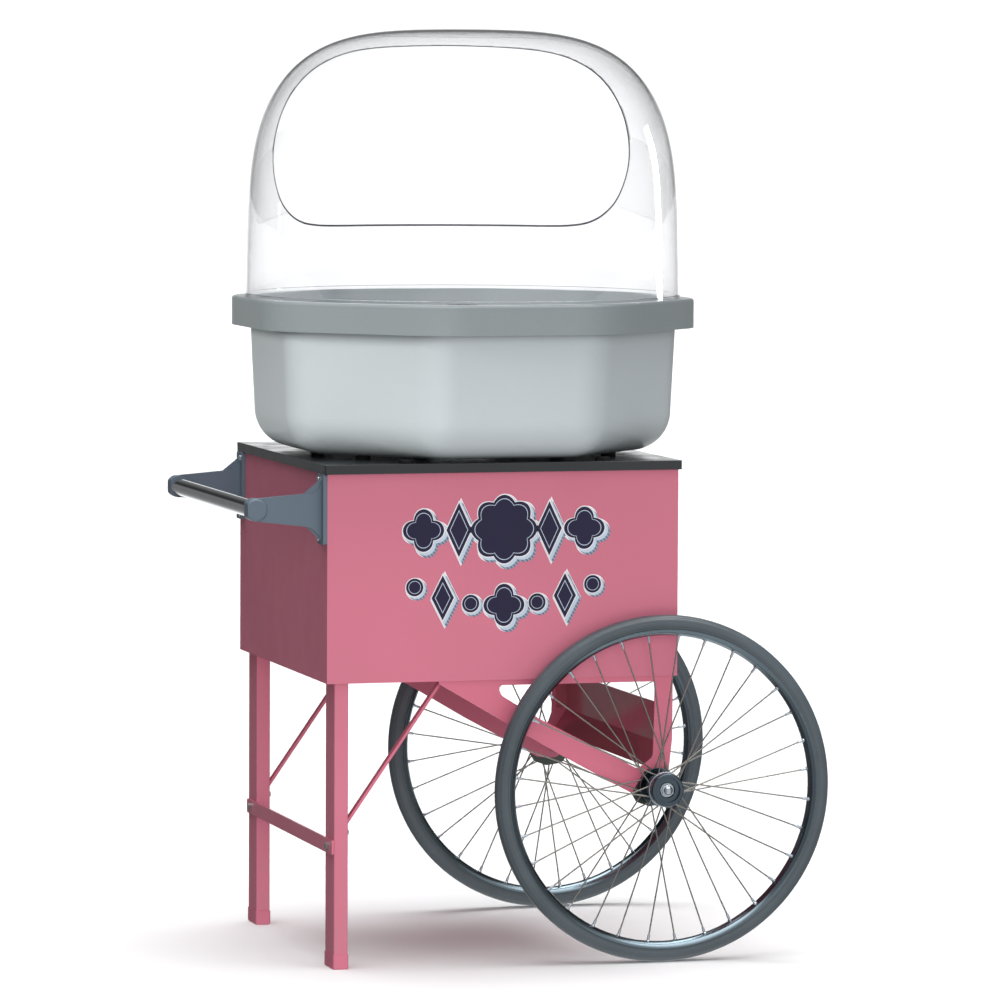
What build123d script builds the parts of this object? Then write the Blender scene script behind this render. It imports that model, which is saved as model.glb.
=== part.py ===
from build123d import *
import math
import os

# Electric floss machine built into a two-wheeled serving cart.
# Millimetres, +Z up, +X towards the wheels, -Y is the decorated front, +Y is the operator's side.
# The model is drawn about the middle of the cabinet, then shifted along X by x_shift
# so that the origin is the centre of the footprint on the ground.

# ---------------------------------------------------------------- driving dimensions
cab_l = 528.0            # cabinet length (X)
cab_d = 528.0            # cabinet depth (Y)
cab_z0 = 415.0           # underside of the cabinet
cab_h = 302.0            # cabinet height up to the deck lip
sheet = 2.0              # cabinet sheet thickness
lid_over = 4.5           # deck overhang past the cabinet
lid_h = 13.5             # deck lip height
wheel_d = 508.0          # wheel diameter over the tyre
wheel_x = 232.4          # wheel centre, along X
wheel_y = 296.4          # wheel mid-plane, either side
tyre_r = 14.0            # tyre section radius
spoke_n = 32             # spokes in each wheel
spoke_r = 1.1            # spoke wire radius
axle_r = 8.0             # axle radius
run_gap = 0.05           # radial running clearance of shafts in their holes
leg_w = 21.0             # leg tube, along X
leg_d = 51.0             # leg tube, along Y
leg_wall = 1.6
leg_in_x = 12.5          # leg set in from the cabinet's end
leg_in_y = 5.0           # leg set in from the cabinet's front and back
cap_h = 21.0             # foot cap height
handle_x = -366.0        # push handle tube axis
handle_z = 666.5
handle_r = 12.7
handle_y = 248.0         # middle of each handle arm, either side
machine_x = 10.0         # vertical axis of bowl, dome and spinner
bowl_z0 = 735.0          # underside of the bowl
bowl_z1 = 960.0          # top face of the bowl rim
bowl_t = 3.5
rim_half = 328.0         # rim, centre to flat
rim_skirt = 43.0         # height of the rim's downturned edge
dome_r = 321.6
dome_t = 4.0
dome_z0 = 960.3
dome_top = 1357.0
win_turn = 9.1           # serving opening's direction, degrees from +Y towards +X
head_r = 65.0            # spinner head radius
head_z0 = 871.0
head_z1 = 951.0
spindle_r = 6.35

lid_z0 = cab_z0 + cab_h
lid_z1 = lid_z0 + lid_h
hx = cab_l / 2
hy = cab_d / 2
x_min = handle_x - 13.0
x_max = wheel_x + wheel_d / 2
x_shift = -(x_min + x_max) / 2

os.makedirs("parts", exist_ok=True)
parts = {}


# ---------------------------------------------------------------- helpers
def box(x0, x1, y0, y1, z0, z1):
    return Pos((x0 + x1) / 2, (y0 + y1) / 2, (z0 + z1) / 2) * Box(x1 - x0, y1 - y0, z1 - z0)


def rod(p, q, r):
    d = Vector(*q) - Vector(*p)
    return Plane(origin=p, z_dir=d) * Cylinder(r, d.length, align=(Align.CENTER, Align.CENTER, Align.MIN))


def ycyl(x, z, y0, y1, r):
    return rod((x, y0, z), (x, y1, z), r)


def zcyl(x, y, z0, z1, r):
    return rod((x, y, z0), (x, y, z1), r)


def xcyl(y, z, x0, x1, r):
    return rod((x0, y, z), (x1, y, z), r)


def xz_face(pts, y1):
    # closed outline in X and Z on the plane y = y1, normal towards -Y
    pl = Plane(origin=(0, y1, 0), x_dir=(1, 0, 0), z_dir=(0, -1, 0))
    return pl, make_face(Polyline(*pts, close=True))


def near_fillet(sk, corners):
    for (cx, cz, r) in corners:
        v = min(sk.vertices(), key=lambda w: (w.X - cx) ** 2 + (w.Y - cz) ** 2)
        sk = fillet(v, r)
    return sk


def xz_plate(pts, y0, y1, corners=(), holes=()):
    sk = make_face(Polyline(*pts, close=True))
    sk = near_fillet(sk, corners)
    for h in holes:
        hs = make_face(Polyline(*h[0], close=True))
        hs = near_fillet(hs, h[1])
        sk = sk - hs
    pl = Plane(origin=(0, y1, 0), x_dir=(1, 0, 0), z_dir=(0, -1, 0))
    return extrude(pl * sk, y1 - y0)


def octagon(a, r, z):
    R = a / math.cos(math.radians(22.5))
    pts = [(R * math.cos(math.radians(22.5 + 45 * k)), R * math.sin(math.radians(22.5 + 45 * k))) for k in range(8)]
    sk = make_face(Polyline(*pts, close=True))
    sk = fillet(sk.vertices(), r)
    return Pos(machine_x, 0, z) * sk


def lathe(pts, x=0.0, y=0.0):
    # solid of revolution about the vertical axis through (x, y), from (radius, z) points
    sk = make_face(Polyline(*pts, close=True))
    s = revolve(Plane.XZ * sk, Axis.Z)
    return Pos(x, y, 0) * s


def solids_of(shape):
    return list(shape.solids())


def group(items):
    out = []
    for i in items:
        out += solids_of(i)
    return Compound(children=out)


def mirror_y(shape):
    return mirror(shape, about=Plane.XZ)


def add(name, shape):
    s = shape if isinstance(shape, list) else solids_of(shape)
    s = [Pos(x_shift, 0, 0) * k for k in s]
    parts[name] = s[0] if len(s) == 1 else Compound(children=s)


# ---------------------------------------------------------------- cabinet
# front and both ends are one folded sheet, open at the back, with a return at each rear edge
# its top edge runs up inside the deck's lip and carries the deck
shell = box(-hx, hx, -hy, hy, cab_z0, lid_z1 - 2) - box(-hx + sheet, hx - sheet, -hy + sheet, hy + 1, cab_z0 - 1, lid_z1)
ret_l = box(-hx + sheet, -hx + 20, hy - 4, hy - sheet, cab_z0 + 4, lid_z0 - 4)
ret_r = box(hx - 20, hx - sheet, hy - 4, hy - sheet, cab_z0 + 4, lid_z0 - 4)
shell = shell + ret_l + ret_r
# clearance holes of the four handle screws
screw_z = (624.0, 708.0)
screw_y = 238.0
for s in (-1, 1):
    for z in screw_z:
        shell = shell - xcyl(s * screw_y, z, -hx - 1, -hx + sheet + 1, 2.6)
add("cabinet_shell", shell)

leg_x0 = -hx + leg_in_x
leg_x1 = leg_x0 + leg_w
leg_y1 = hy - leg_in_y
leg_y0 = leg_y1 - leg_d
floor = box(-hx + sheet, hx - sheet, -hy + sheet, hy - sheet - 2.0, cab_z0, cab_z0 + sheet)
floor = floor + (box(-hx + sheet, hx - sheet, -hy + sheet, -hy + sheet + 2, cab_z0, cab_z0 + 16))
floor = floor + box(hx - sheet - 2, hx - sheet, -hy + sheet, hy - 4, cab_z0, cab_z0 + 16)
for s in (-1, 1):
    y0, y1 = sorted((s * leg_y0, s * leg_y1))
    floor = floor - box(leg_x0 - 0.1, leg_x1 + 0.1, y0 - 0.1, y1 + 0.1, cab_z0 - 1, cab_z0 + sheet + 1)
for s in (-1, 1):
    for xx in (-30, 60, 150, 235):
        floor = floor - zcyl(xx, s * (hy - 21), cab_z0 - 1, cab_z0 + sheet + 1, 3.2)
    floor = floor - zcyl(-67, s * (hy - 30.5), cab_z0 - 1, cab_z0 + sheet + 1, 2.7)
add("cabinet_floor", floor)

# rear panel with the storage opening on the left and the control cut-outs on the right
door_x = (-228.0, -44.0)
door_z = (440.0, 690.0)
rear = box(-hx + sheet, hx - sheet, hy - sheet, hy, cab_z0, lid_z1 - 2)
rear = rear - box(door_x[0] + 14, door_x[1] - 14, hy - 5, hy + 1, door_z[0] + 14, door_z[1] - 14)
ctl_x = (28.0, 236.0)
ctl_z = (592.0, 700.0)
rear = rear - box(ctl_x[0] + 10, ctl_x[1] - 10, hy - 5, hy + 1, ctl_z[0] + 10, ctl_z[1] - 10)
inlet_x, inlet_z = 206.0, 560.0
rear = rear - box(inlet_x - 14, inlet_x + 14, hy - 5, hy + 1, inlet_z - 10.5, inlet_z + 10.5)
add("rear_panel", rear)

# deck: a pan turned upside down over the cabinet, with a centre hole for the spindle
lx = hx + lid_over
ly = hy + lid_over
deck = box(-lx, lx, -ly, ly, lid_z0, lid_z1)
deck = fillet(deck.edges().filter_by(Axis.Z), 3)
deck = fillet(deck.faces().sort_by(Axis.Z)[-1].edges(), 1.2)
deck = deck - box(-lx + 2, lx - 2, -ly + 2, ly - 2, lid_z0 - 1, lid_z1 - 2)
deck = deck - zcyl(machine_x, 0, lid_z0 - 1, lid_z1 + 1, 42)
add("deck", deck)

# ---------------------------------------------------------------- legs
leg_top = cab_z0 + 96.0


def leg(s):
    y0, y1 = sorted((s * leg_y0, s * leg_y1))
    o = box(leg_x0, leg_x1, y0, y1, 4, leg_top)
    o = fillet(o.edges().filter_by(Axis.Z), 2.2)
    i = box(leg_x0 + leg_wall, leg_x1 - leg_wall, y0 + leg_wall, y1 - leg_wall, 3, leg_top + 1)
    ym = (y0 + y1) / 2
    o = o - i
    o = o - xcyl(ym, strap_z, leg_x0 - 5, leg_x1 + 5, 3.2)
    o = o - xcyl(ym, brace_zt, leg_x1 - 3, leg_x1 + 5, 2.7)
    o = o - xcyl(ym, cab_z0 + 70, leg_x0 - 5, leg_x1 + 5, 3.2)
    return o


strap_z = 177.0
strap_h = 21.0
brace_zt = 196.0
leg_ym = (leg_y0 + leg_y1) / 2
add("front_leg", leg(-1))
add("rear_leg", leg(1))

caps = []
for s in (-1, 1):
    y0, y1 = sorted((s * leg_y0, s * leg_y1))
    c = box(leg_x0 - 1.1, leg_x1 + 1.1, y0 - 1.1, y1 + 1.1, 0, cap_h)
    c = fillet(c.edges().filter_by(Axis.Z), 3.0)
    c = chamfer(c.faces().sort_by(Axis.Z)[0].edges(), 1.4)
    cut = box(leg_x0, leg_x1, y0, y1, 4, cap_h + 1)
    cut = fillet(cut.edges().filter_by(Axis.Z), 2.2)
    caps.append(c - cut)
add("foot_caps", group(caps))

# welded sockets inside the cabinet that take the leg tops
socks = []
for s in (-1, 1):
    y0, y1 = sorted((s * leg_y0, s * leg_y1))
    yo0, yo1 = sorted((s * (leg_y0 - 2.5), s * (leg_y1 + 0.9)))
    so = box(leg_x0 - 2.5, leg_x1 + 2.5, yo0, yo1, cab_z0 + sheet, leg_top - 6)
    si = box(leg_x0, leg_x1, y0, y1, cab_z0, leg_top + 1)
    si = fillet(si.edges().filter_by(Axis.Z), 2.2)
    so = so - si
    so = so - xcyl(s * leg_ym, cab_z0 + 70, leg_x0 - 9, leg_x1 + 9, 3.2)
    socks.append(so)
add("leg_sockets", group(socks))

# flat strap bolted across the legs' outer faces
strap = box(leg_x0 - 3, leg_x0, -leg_y1 + 1.5, leg_y1 - 1.5, strap_z - strap_h / 2, strap_z + strap_h / 2)
strap = fillet(strap.edges().filter_by(Axis.X), 3)
for s in (-1, 1):
    strap = strap - xcyl(s * leg_ym, strap_z, leg_x0 - 9, leg_x0 + 2, 3.2)
add("leg_strap", strap)

# flat-bar braces from the legs' inner faces up to the cabinet floor
brace_w = 13.0
brace_t = 3.0
bx0, bz0 = leg_x1, 208.0
bx1, bz1 = -86.0, cab_z0
ux, uz = bx1 - bx0, bz1 - bz0
ul = math.hypot(ux, uz)
ux, uz = ux / ul, uz / ul
nx, nz = uz, -ux


def brace(s):
    t = brace_t
    pts = [(leg_x1, 184), (leg_x1 + t, 184), (leg_x1 + t, bz0 - 1.0)]
    k = (cab_z0 - t - (bz0 - 1.0)) / uz
    pts += [(leg_x1 + t + ux * k, cab_z0 - t), (bx1 + 30, cab_z0 - t), (bx1 + 30, cab_z0)]
    k2 = (cab_z0 - (bz0 + 1.5)) / uz
    pts += [(leg_x1 + ux * k2, cab_z0), (leg_x1, bz0 + 1.5)]
    b = xz_plate(pts, s * leg_ym - brace_w / 2, s * leg_ym + brace_w / 2)
    b = b - xcyl(s * leg_ym, brace_zt, leg_x1 - 3, leg_x1 + 8, 2.7)
    b = b - zcyl(bx1 + 19, s * leg_ym, cab_z0 - 8, cab_z0 + 1, 2.7)
    return b


add("leg_braces", group([brace(-1), brace(1)]))


# hex-head bolt with its shank; p is the bearing point under the head, d the outward direction
def bolt(p, d, shank_r, length, head_r_, head_h):
    pl = Plane(origin=p, z_dir=d)
    hd = pl * extrude(RegularPolygon(head_r_, 6), head_h)
    sh = pl * (Pos(0, 0, -length) * Cylinder(shank_r, length, align=(Align.CENTER, Align.CENTER, Align.MIN)))
    return hd + sh


def nut(p, d, inner, outer, h):
    pl = Plane(origin=p, z_dir=d)
    return pl * (extrude(RegularPolygon(outer, 6), h) - Pos(0, 0, -1) * Cylinder(inner, h + 2, align=(Align.CENTER, Align.CENTER, Align.MIN)))


fl = []
for s in (-1, 1):
    ym = s * leg_ym
    fl.append(bolt((leg_x0 - 3, ym, strap_z), (-1, 0, 0), 3.0, 3 + leg_wall + 6, 5.8, 4.2))
    fl.append(bolt((leg_x1 + brace_t, ym, brace_zt), (1, 0, 0), 2.5, brace_t + leg_wall + 5, 4.6, 3.5))
    fl.append(bolt((leg_x1 + 2.5, ym, cab_z0 + 70), (1, 0, 0), 3.0, 2.5 + leg_w + 2.5 + 3, 5.8, 4.2))

# ---------------------------------------------------------------- wheel brackets
wy = wheel_y
br_y1 = hy - 3.0          # outer face of the bracket sheet
br_y0 = br_y1 - 3.0
ax, az = wheel_x, wheel_d / 2


def bracket(s):
    # triangular side sheet: long diagonal arm to the axle, short upright, open triangle between
    pts = [(-96, cab_z0), (258.5, cab_z0), (258.0, 322), (251.5, 262), (240, 236), (207, 238), (90.5, 301.5), (-96, 411.0)]
    hole = [(-8, 407), (231.5, 407), (229.0, 296), (206, 279), (55.5, 356.5), (-2, 392)]
    y0, y1 = sorted((s * br_y0, s * br_y1))
    p = xz_plate(pts, y0, y1, corners=((251.5, 262, 30), (240, 236, 12), (207, 238, 12), (90.5, 301.5, 60), (-96, 411, 2)),
                 holes=((hole, ((-8, 407, 6), (231.5, 407, 5), (229, 296, 14), (206, 279, 8), (-2, 392, 10))),))
    # top flange that bolts to the cabinet floor
    yf0, yf1 = sorted((s * (br_y0 - 28), s * br_y0))
    fl_ = box(-48, 258.5, yf0, yf1, cab_z0 - 3, cab_z0)
    p = p + fl_
    # top edge strip keeps the sheet closed above the opening
    for xx in (-30, 60, 150, 235):
        p = p - zcyl(xx, s * (br_y0 - 15), cab_z0 - 8, cab_z0 + 1, 3.2)
    p = p - ycyl(ax, az, s * (br_y0 - 5), s * (br_y1 + 5), axle_r)
    return p


add("front_wheel_bracket", bracket(-1))
add("rear_wheel_bracket", bracket(1))

bb = []
for s in (-1, 1):
    for xx in (-30, 60, 150, 235):
        bb.append(bolt((xx, s * (br_y0 - 15), cab_z0 - 3), (0, 0, -1), 3.2, 3 + sheet + 5, 5.8, 4.2))
add("frame_bolts", group(fl + bb))

# folded cross plate between the two brackets
cp = [(255.5, 369), (255.5, 311), (232.0, 277.0), (230.3, 278.2), (253.4, 311.6), (253.4, 369)]
cross = xz_plate(cp, -br_y0, br_y0)
cross = cross + box(236, 253.4, -br_y0, -br_y0 + 2.1, 314, 366) + box(236, 253.4, br_y0 - 2.1, br_y0, 314, 366)
add("axle_cross_plate", cross)

# steel bosses that carry the axle, one against the outside of each bracket
boss_o = []
for s in (-1, 1):
    y0, y1 = sorted((s * br_y1, s * (br_y1 + 5.0)))
    pts = [(203, 231), (222, 224), (250, 228), (258, 254), (250, 276), (218, 279), (196, 243)]
    b = xz_plate(pts, y0, y1, corners=((203, 231, 4), (222, 224, 8), (250, 228, 14), (258, 254, 16), (250, 276, 14), (218, 279, 10), (196, 243, 4)))
    b = b + ycyl(ax, az, s * (br_y1 + 5.0), s * (br_y1 + 8.4), 15)
    b = b - ycyl(ax, az, s * (br_y1 - 5), s * (br_y1 + 12), axle_r)
    boss_o.append(b)
add("axle_bosses", group(boss_o))

hub_in = wy - 24.0        # hub end nearest the cart
hub_out = wy + 18.0
cap_out = wy + 28.0
axle = ycyl(ax, az, -(wy + 21.0), wy + 21.0, axle_r) + ycyl(ax, az, -(wy + 27.5), wy + 27.5, 5.0)
add("axle", axle)

nuts_ = []
for s in (-1, 1):
    w = ycyl(ax, az, s * (wy + 21.0), s * (wy + 22.4), 10.2) - ycyl(ax, az, s * (wy + 18), s * (wy + 26), 5.0)
    n = Plane(origin=(ax, s * (wy + 22.4), az), z_dir=(0, s, 0)) * extrude(RegularPolygon(9.2, 6), 5.4)
    dome_n = Pos(ax, s * (wy + 25.6), az) * Sphere(7.2)
    dome_n = dome_n & box(ax - 10, ax + 10, *sorted((s * (wy + 27.6), s * (wy + 40))), az - 10, az + 10)
    n = n + ycyl(ax, az, s * (wy + 27.8), s * (wy + 28.4), 6.9)
    n = n + dome_n
    n = n - ycyl(ax, az, s * (wy + 20), s * (wy + 27.5), 5.0)
    nuts_ += [w, n]
add("axle_nuts", group(nuts_))

# ---------------------------------------------------------------- wheels
def wheel(s, nm):
    M = s * wy
    ring = Pos(ax, M, az) * (Rot(90, 0, 0) * Torus(wheel_d / 2 - tyre_r, tyre_r))
    add(nm + "_tyre", ring)
    rc = wheel_d / 2 - tyre_r
    rim = (Torus(rc, tyre_r + 2.2) - Torus(rc, tyre_r)) & Cylinder(rc - 6.5, 60)
    rim = Pos(ax, M, az) * (Rot(90, 0, 0) * rim)
    add(nm + "_rim", rim)
    # hub: barrel, two spoke flanges, bore for the axle
    h = ycyl(ax, az, s * hub_in, s * hub_out, 13.5)
    h = h + ycyl(ax, az, s * (wy - 21.5), s * (wy - 18.5), 28) + ycyl(ax, az, s * (wy + 11.5), s * (wy + 14.5), 26)
    h = h + ycyl(ax, az, s * (wy - 18.5), s * (wy - 14), 18) + ycyl(ax, az, s * (wy + 8), s * (wy + 11.5), 17)
    h = h - ycyl(ax, az, s * (hub_in - 2), s * (hub_out + 2), axle_r + run_gap)
    add(nm + "_hub", h)
    # hub cap: cup with a recessed face round the axle nut
    c = ycyl(ax, az, s * (wy + 14.5), s * cap_out, 24.5)
    c = fillet(c.edges().sort_by(lambda e: s * e.center().Y)[-1], 3)
    c = c - ycyl(ax, az, s * (wy + 14), s * (wy + 18.0), 13.5)
    c = c - ycyl(ax, az, s * (wy + 17), s * (cap_out + 2), 11.5)
    c = c - (ycyl(ax, az, s * (cap_out - 4.5), s * (cap_out + 2), 18.5))
    add(nm + "_hub_cap", c)
    sp = []
    for i in range(spoke_n):
        a = 2 * math.pi * (i + 0.5) / spoke_n
        outer = i % 2
        lean = math.radians(34) * (1 if (i // 2) % 2 else -1)
        rh = 22.0 if outer else 24.0
        yh = M + s * (13.0 if outer else -20.0)
        rr = rc - tyre_r - 1.6
        p = (ax + rh * math.cos(a + lean), yh, az + rh * math.sin(a + lean))
        q = (ax + rr * math.cos(a), M + s * (3.5 if outer else -3.5), az + rr * math.sin(a))
        sp.append(rod(p, q, spoke_r))
    add(nm + "_spokes", group(sp))


wheel(-1, "front")
wheel(1, "rear")

# ---------------------------------------------------------------- push handle
def handle_bracket(s):
    xf = -hx - 6.0
    arm_pts = [(xf + 0.5, 701), (xf - 9, 690.0), (handle_x, 682.8), (handle_x - 13, 682.8), (handle_x - 13, 650.2),
               (handle_x, 650.2), (xf - 15, 640.5), (xf + 0.5, 624)]
    ya, yb = sorted((s * (handle_y - 4.5), s * (handle_y + 4.5)))
    arm = xz_plate(arm_pts, ya, yb, corners=((xf - 9, 690, 14), (handle_x - 13, 682.8, 11.5), (handle_x - 13, 650.2, 11.5), (xf - 15, 640.5, 22)))
    flange = box(xf, -hx, *sorted((s * (hy - 0.4), s * (hy - 33.5))), 615.5, 716.8)
    flange = fillet(flange.edges().filter_by(Axis.X), 3)
    rib = xz_plate([(xf, 709), (xf - 26, 688.2), (xf, 688.2)], *sorted((s * (handle_y - 2.5), s * (handle_y + 2.5))))
    rib2 = xz_plate([(xf, 621), (xf - 22, 641.5), (xf, 641.5)], *sorted((s * (handle_y - 2.5), s * (handle_y + 2.5))))
    boss = ycyl(handle_x, handle_z, s * (handle_y - 16), s * (handle_y + 7.5), 16.3)
    boss = fillet(boss.edges().sort_by(lambda e: s * e.center().Y)[-1], 3.5)
    b = arm + flange + rib + rib2 + (boss & box(handle_x - 13, handle_x + 40, -400, 400, 600, 760))
    b = b - ycyl(handle_x, handle_z, s * (handle_y - 20), s * (handle_y + 2), handle_r)
    for z in screw_z:
        b = b - xcyl(s * screw_y, z, xf - 2, -hx + 1, 2.6)
    return b


add("front_handle_bracket", handle_bracket(-1))
add("rear_handle_bracket", handle_bracket(1))
tube = ycyl(handle_x, handle_z, -handle_y - 2, handle_y + 2, handle_r) - ycyl(handle_x, handle_z, -handle_y - 3, handle_y + 3, handle_r - 1.5)
add("handle_tube", tube)
hs = []
for s in (-1, 1):
    for z in screw_z:
        pl = Plane(origin=(-hx - 6.0, s * screw_y, z), z_dir=(-1, 0, 0))
        hd = pl * (Cylinder(4.6, 2.6, align=(Align.CENTER, Align.CENTER, Align.MIN)))
        hd = fillet(hd.edges().sort_by(Axis.X)[0], 1.2)
        hs.append(hd + pl * (Pos(0, 0, -12) * Cylinder(2.5, 12, align=(Align.CENTER, Align.CENTER, Align.MIN))))
        hs.append(nut((-hx + sheet, s * screw_y, z), (1, 0, 0), 2.5, 4.8, 3.4))
add("handle_screws", group(hs))

# ---------------------------------------------------------------- drive under the deck
mx = machine_x
plate_z = 652.0
mp = zcyl(mx, 0, plate_z, plate_z + 4, 96) - zcyl(mx, 0, plate_z - 1, plate_z + 5, 26)
mount_xy = [(mx + 78 * math.cos(math.radians(a)), 78 * math.sin(math.radians(a))) for a in (45, 135, 225, 315)]
for (x, y) in mount_xy:
    mp = mp - zcyl(x, y, plate_z - 1, plate_z + 5, 5.2)
add("motor_mount_plate", mp)
mm, ms = [], []
for (x, y) in mount_xy:
    m = zcyl(x, y, plate_z + 4, plate_z + 26, 13) - zcyl(x, y, plate_z + 3, plate_z + 27, 4)
    mm.append(m)
    ms.append(zcyl(x, y, plate_z - 8, lid_z1 - 2, 4) + zcyl(x, y, plate_z - 6, plate_z, 8) + zcyl(x, y, plate_z + 26, plate_z + 29, 9))
add("motor_rubber_mounts", group(mm))
add("motor_studs", group(ms))

mz0, mz1 = 512.0, 640.0
house = lathe([(0, mz0), (52, mz0), (58, mz0 + 6), (58, mz1 - 4), (50, mz1 + 4), (25.5, mz1 + 4), (25.5, plate_z + 8), (0, plate_z + 8)], mx)
house = house + (zcyl(mx, 0, mz1, plate_z, 44))
house = house - (zcyl(mx, 0, mz0 + 5, mz1 - 5, 52))
house = house - zcyl(mx, 0, mz0 + 2, plate_z + 20, 13)
for k in range(12):
    a = math.radians(30 * k)
    house = house - Pos(mx + 55 * math.cos(a), 55 * math.sin(a), 576) * (Rot(0, 0, 30 * k) * Box(16, 7, 52))
add("motor_housing", house)
bear_l = [zcyl(mx, 0, mz0 + 2, mz0 + 10, 13) - zcyl(mx, 0, mz0, mz0 + 12, spindle_r + run_gap),
          zcyl(mx, 0, plate_z - 4, plate_z + 6, 13) - zcyl(mx, 0, plate_z - 6, plate_z + 8, spindle_r + run_gap)]
add("motor_bearings", group(bear_l))
rotor = zcyl(mx, 0, mz0 + 20, mz1 - 16, 38) - zcyl(mx, 0, mz0, mz1, spindle_r)
add("motor_rotor", rotor)

spindle = zcyl(mx, 0, mz0 + 4, head_z0 + 34, spindle_r)
spindle = chamfer(spindle.edges(), 0.8)
add("spindle", spindle)
slip = []
for z in (676.0, 692.0):
    slip.append(zcyl(mx, 0, z, z + 8, 19) - zcyl(mx, 0, z - 1, z + 9, 15))
sleeve = zcyl(mx, 0, 670, 706, 15) - zcyl(mx, 0, 660, 710, spindle_r)
sleeve = sleeve + (zcyl(mx, 0, 686.2, 689.8, 20.5) - zcyl(mx, 0, 680, 695, spindle_r))
add("slip_rings", group(slip + [sleeve]))
hold = box(mx + 20.6, mx + 46, -10, 10, 672, 704) + box(mx + 40, mx + 46, -10, 10, plate_z + 4, 704)
for z in (680.0, 696.0):
    hold = hold - box(mx + 15, mx + 40, -4, 4, z - 3.5, z + 3.5)
br = [box(mx + 19.3, mx + 40, -4, 4, z - 3.5, z + 3.5) for z in (680.0, 696.0)]
add("brush_holder", group([hold] + br))

# conical guard round the spindle, standing on the deck inside the bowl's centre hole
tower = lathe([(86, lid_z1), (86, lid_z1 + 3), (78, lid_z1 + 6), (34, 846), (16, 852), (16, 849.5), (32.5, 844), (75.5, lid_z1 + 3.5), (70, lid_z1 + 2), (70, lid_z1)], mx)
add("spindle_guard", tower)

# ---------------------------------------------------------------- spinner head
base = lathe([(spindle_r, head_z0), (18, head_z0), (20, head_z0 + 3), (head_r - 3, head_z0 + 8), (head_r - 3, head_z0 + 12), (16, head_z0 + 12), (16, head_z0 + 28), (spindle_r, head_z0 + 28)], mx)
add("head_base", base)
rib_parts = []
for z in (head_z0 + 20, head_z0 + 34, head_z0 + 48):
    rib_parts.append(zcyl(mx, 0, z, z + 9, 54.0) - zcyl(mx, 0, z - 1, z + 10, 53.0))
posts = []
for a in (20, 140, 260):
    px, py = mx + 50.0 * math.cos(math.radians(a)), 50.0 * math.sin(math.radians(a))
    posts.append(zcyl(px, py, head_z0 + 12, head_z0 + 62, 3.02))
add("heating_ribbon", group(rib_parts + posts))
scr = zcyl(mx, 0, head_z0 + 12, head_z0 + 62, 62.0) - zcyl(mx, 0, head_z0 + 11, head_z0 + 63, 60.8)
for k in range(18):
    a = 20 * k
    scr = scr - Pos(mx + 61.4 * math.cos(math.radians(a)), 61.4 * math.sin(math.radians(a)), head_z0 + 37) * (Rot(0, 0, a) * Box(6, 7, 38))
add("floss_screen", scr)
cap = lathe([(24, head_z0 + 62), (head_r - 4, head_z0 + 62), (head_r, head_z0 + 64), (head_r, head_z0 + 70), (head_r - 6, head_z0 + 74),
             (34, head_z0 + 77), (27, head_z1), (24, head_z1)], mx)
add("head_cap", cap)
hn = Pos(mx, 0, 0) * (Plane(origin=(0, 0, head_z0 + 28), z_dir=(0, 0, 1)) * extrude(RegularPolygon(11, 6), 6)) - zcyl(mx, 0, head_z0 + 20, head_z0 + 60, spindle_r)
add("head_nut", hn)

# ---------------------------------------------------------------- bowl
oc0, oc1 = 290.0, 300.3
ro = 75.0
outer = loft([octagon(oc0, ro, bowl_z0), octagon(oc1, ro, bowl_z1)])
outer = fillet(outer.faces().sort_by(Axis.Z)[0].edges(), 58)
inner = loft([octagon(oc0 - bowl_t, ro - bowl_t, bowl_z0 + bowl_t), octagon(oc1 - bowl_t, ro - bowl_t, bowl_z1 + 0.001)])
inner = fillet(inner.faces().sort_by(Axis.Z)[0].edges(), 54.5)
rim_o = extrude(octagon(rim_half, 130, bowl_z1 - rim_skirt), rim_skirt)
rim_o = fillet(rim_o.faces().sort_by(Axis.Z)[-1].edges(), 4.0)
rim_i = extrude(octagon(rim_half - 4, 126, bowl_z1 - rim_skirt - 1), rim_skirt + 1 - 5)
bowl = (outer + (rim_o - rim_i)) - inner
bowl = bowl - extrude(octagon(oc1 - bowl_t, ro - bowl_t, bowl_z1 - 8), 20)
hole_r = 96.0
bowl = bowl + (zcyl(mx, 0, bowl_z0 + 1, bowl_z0 + 26, hole_r + 3.5))
bowl = bowl - zcyl(mx, 0, bowl_z0 - 5, bowl_z0 + 60, hole_r)
add("bowl", bowl)

pads = []
for (x, y) in ((-138, -231), (-177, -133), (158, -231), (197, -133), (-138, 231), (-177, 133), (158, 231), (197, 133)):
    pads.append(fillet(zcyl(x, y, lid_z1, bowl_z0 - 0.3, 11).edges().sort_by(Axis.Z)[-1], 1))
add("bowl_pads", group(pads))

# ---------------------------------------------------------------- dome
crown_z = 1040.0         # where the straight tapering side runs into the crown
dome_taper = 0.022       # lean of the side
crown_n1, crown_n2 = 3.2, 3.37


def dome_profile(off):
    # side with a slight taper, then a squarish crown; offset inwards by off
    raw = [(dome_r, dome_z0), (dome_r - dome_taper * 40, dome_z0 + 40)]
    crown_h = dome_top - crown_z
    for k in range(0, 25):
        t = math.radians(90.0 * k / 24)
        z = crown_z + crown_h * math.sin(t) ** (2 / crown_n1)
        raw.append(((dome_r - dome_taper * (z - dome_z0)) * max(math.cos(t), 0.0) ** (2 / crown_n2), z))
    raw[-1] = (0.0, dome_top)
    n = len(raw)
    pts = []
    for i in range(n):
        a = raw[max(i - 1, 0)]
        b = raw[min(i + 1, n - 1)]
        dx, dz = b[0] - a[0], b[1] - a[1]
        m = math.hypot(dx, dz)
        if i == n - 1:
            dx, dz, m = -1.0, 0.0, 1.0
        pts.append((raw[i][0] - off * dz / m, raw[i][1] + off * dx / m))
    pts[0] = (dome_r - off, dome_z0)
    pts[-1] = (0.0, dome_top - off)
    return pts


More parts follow.
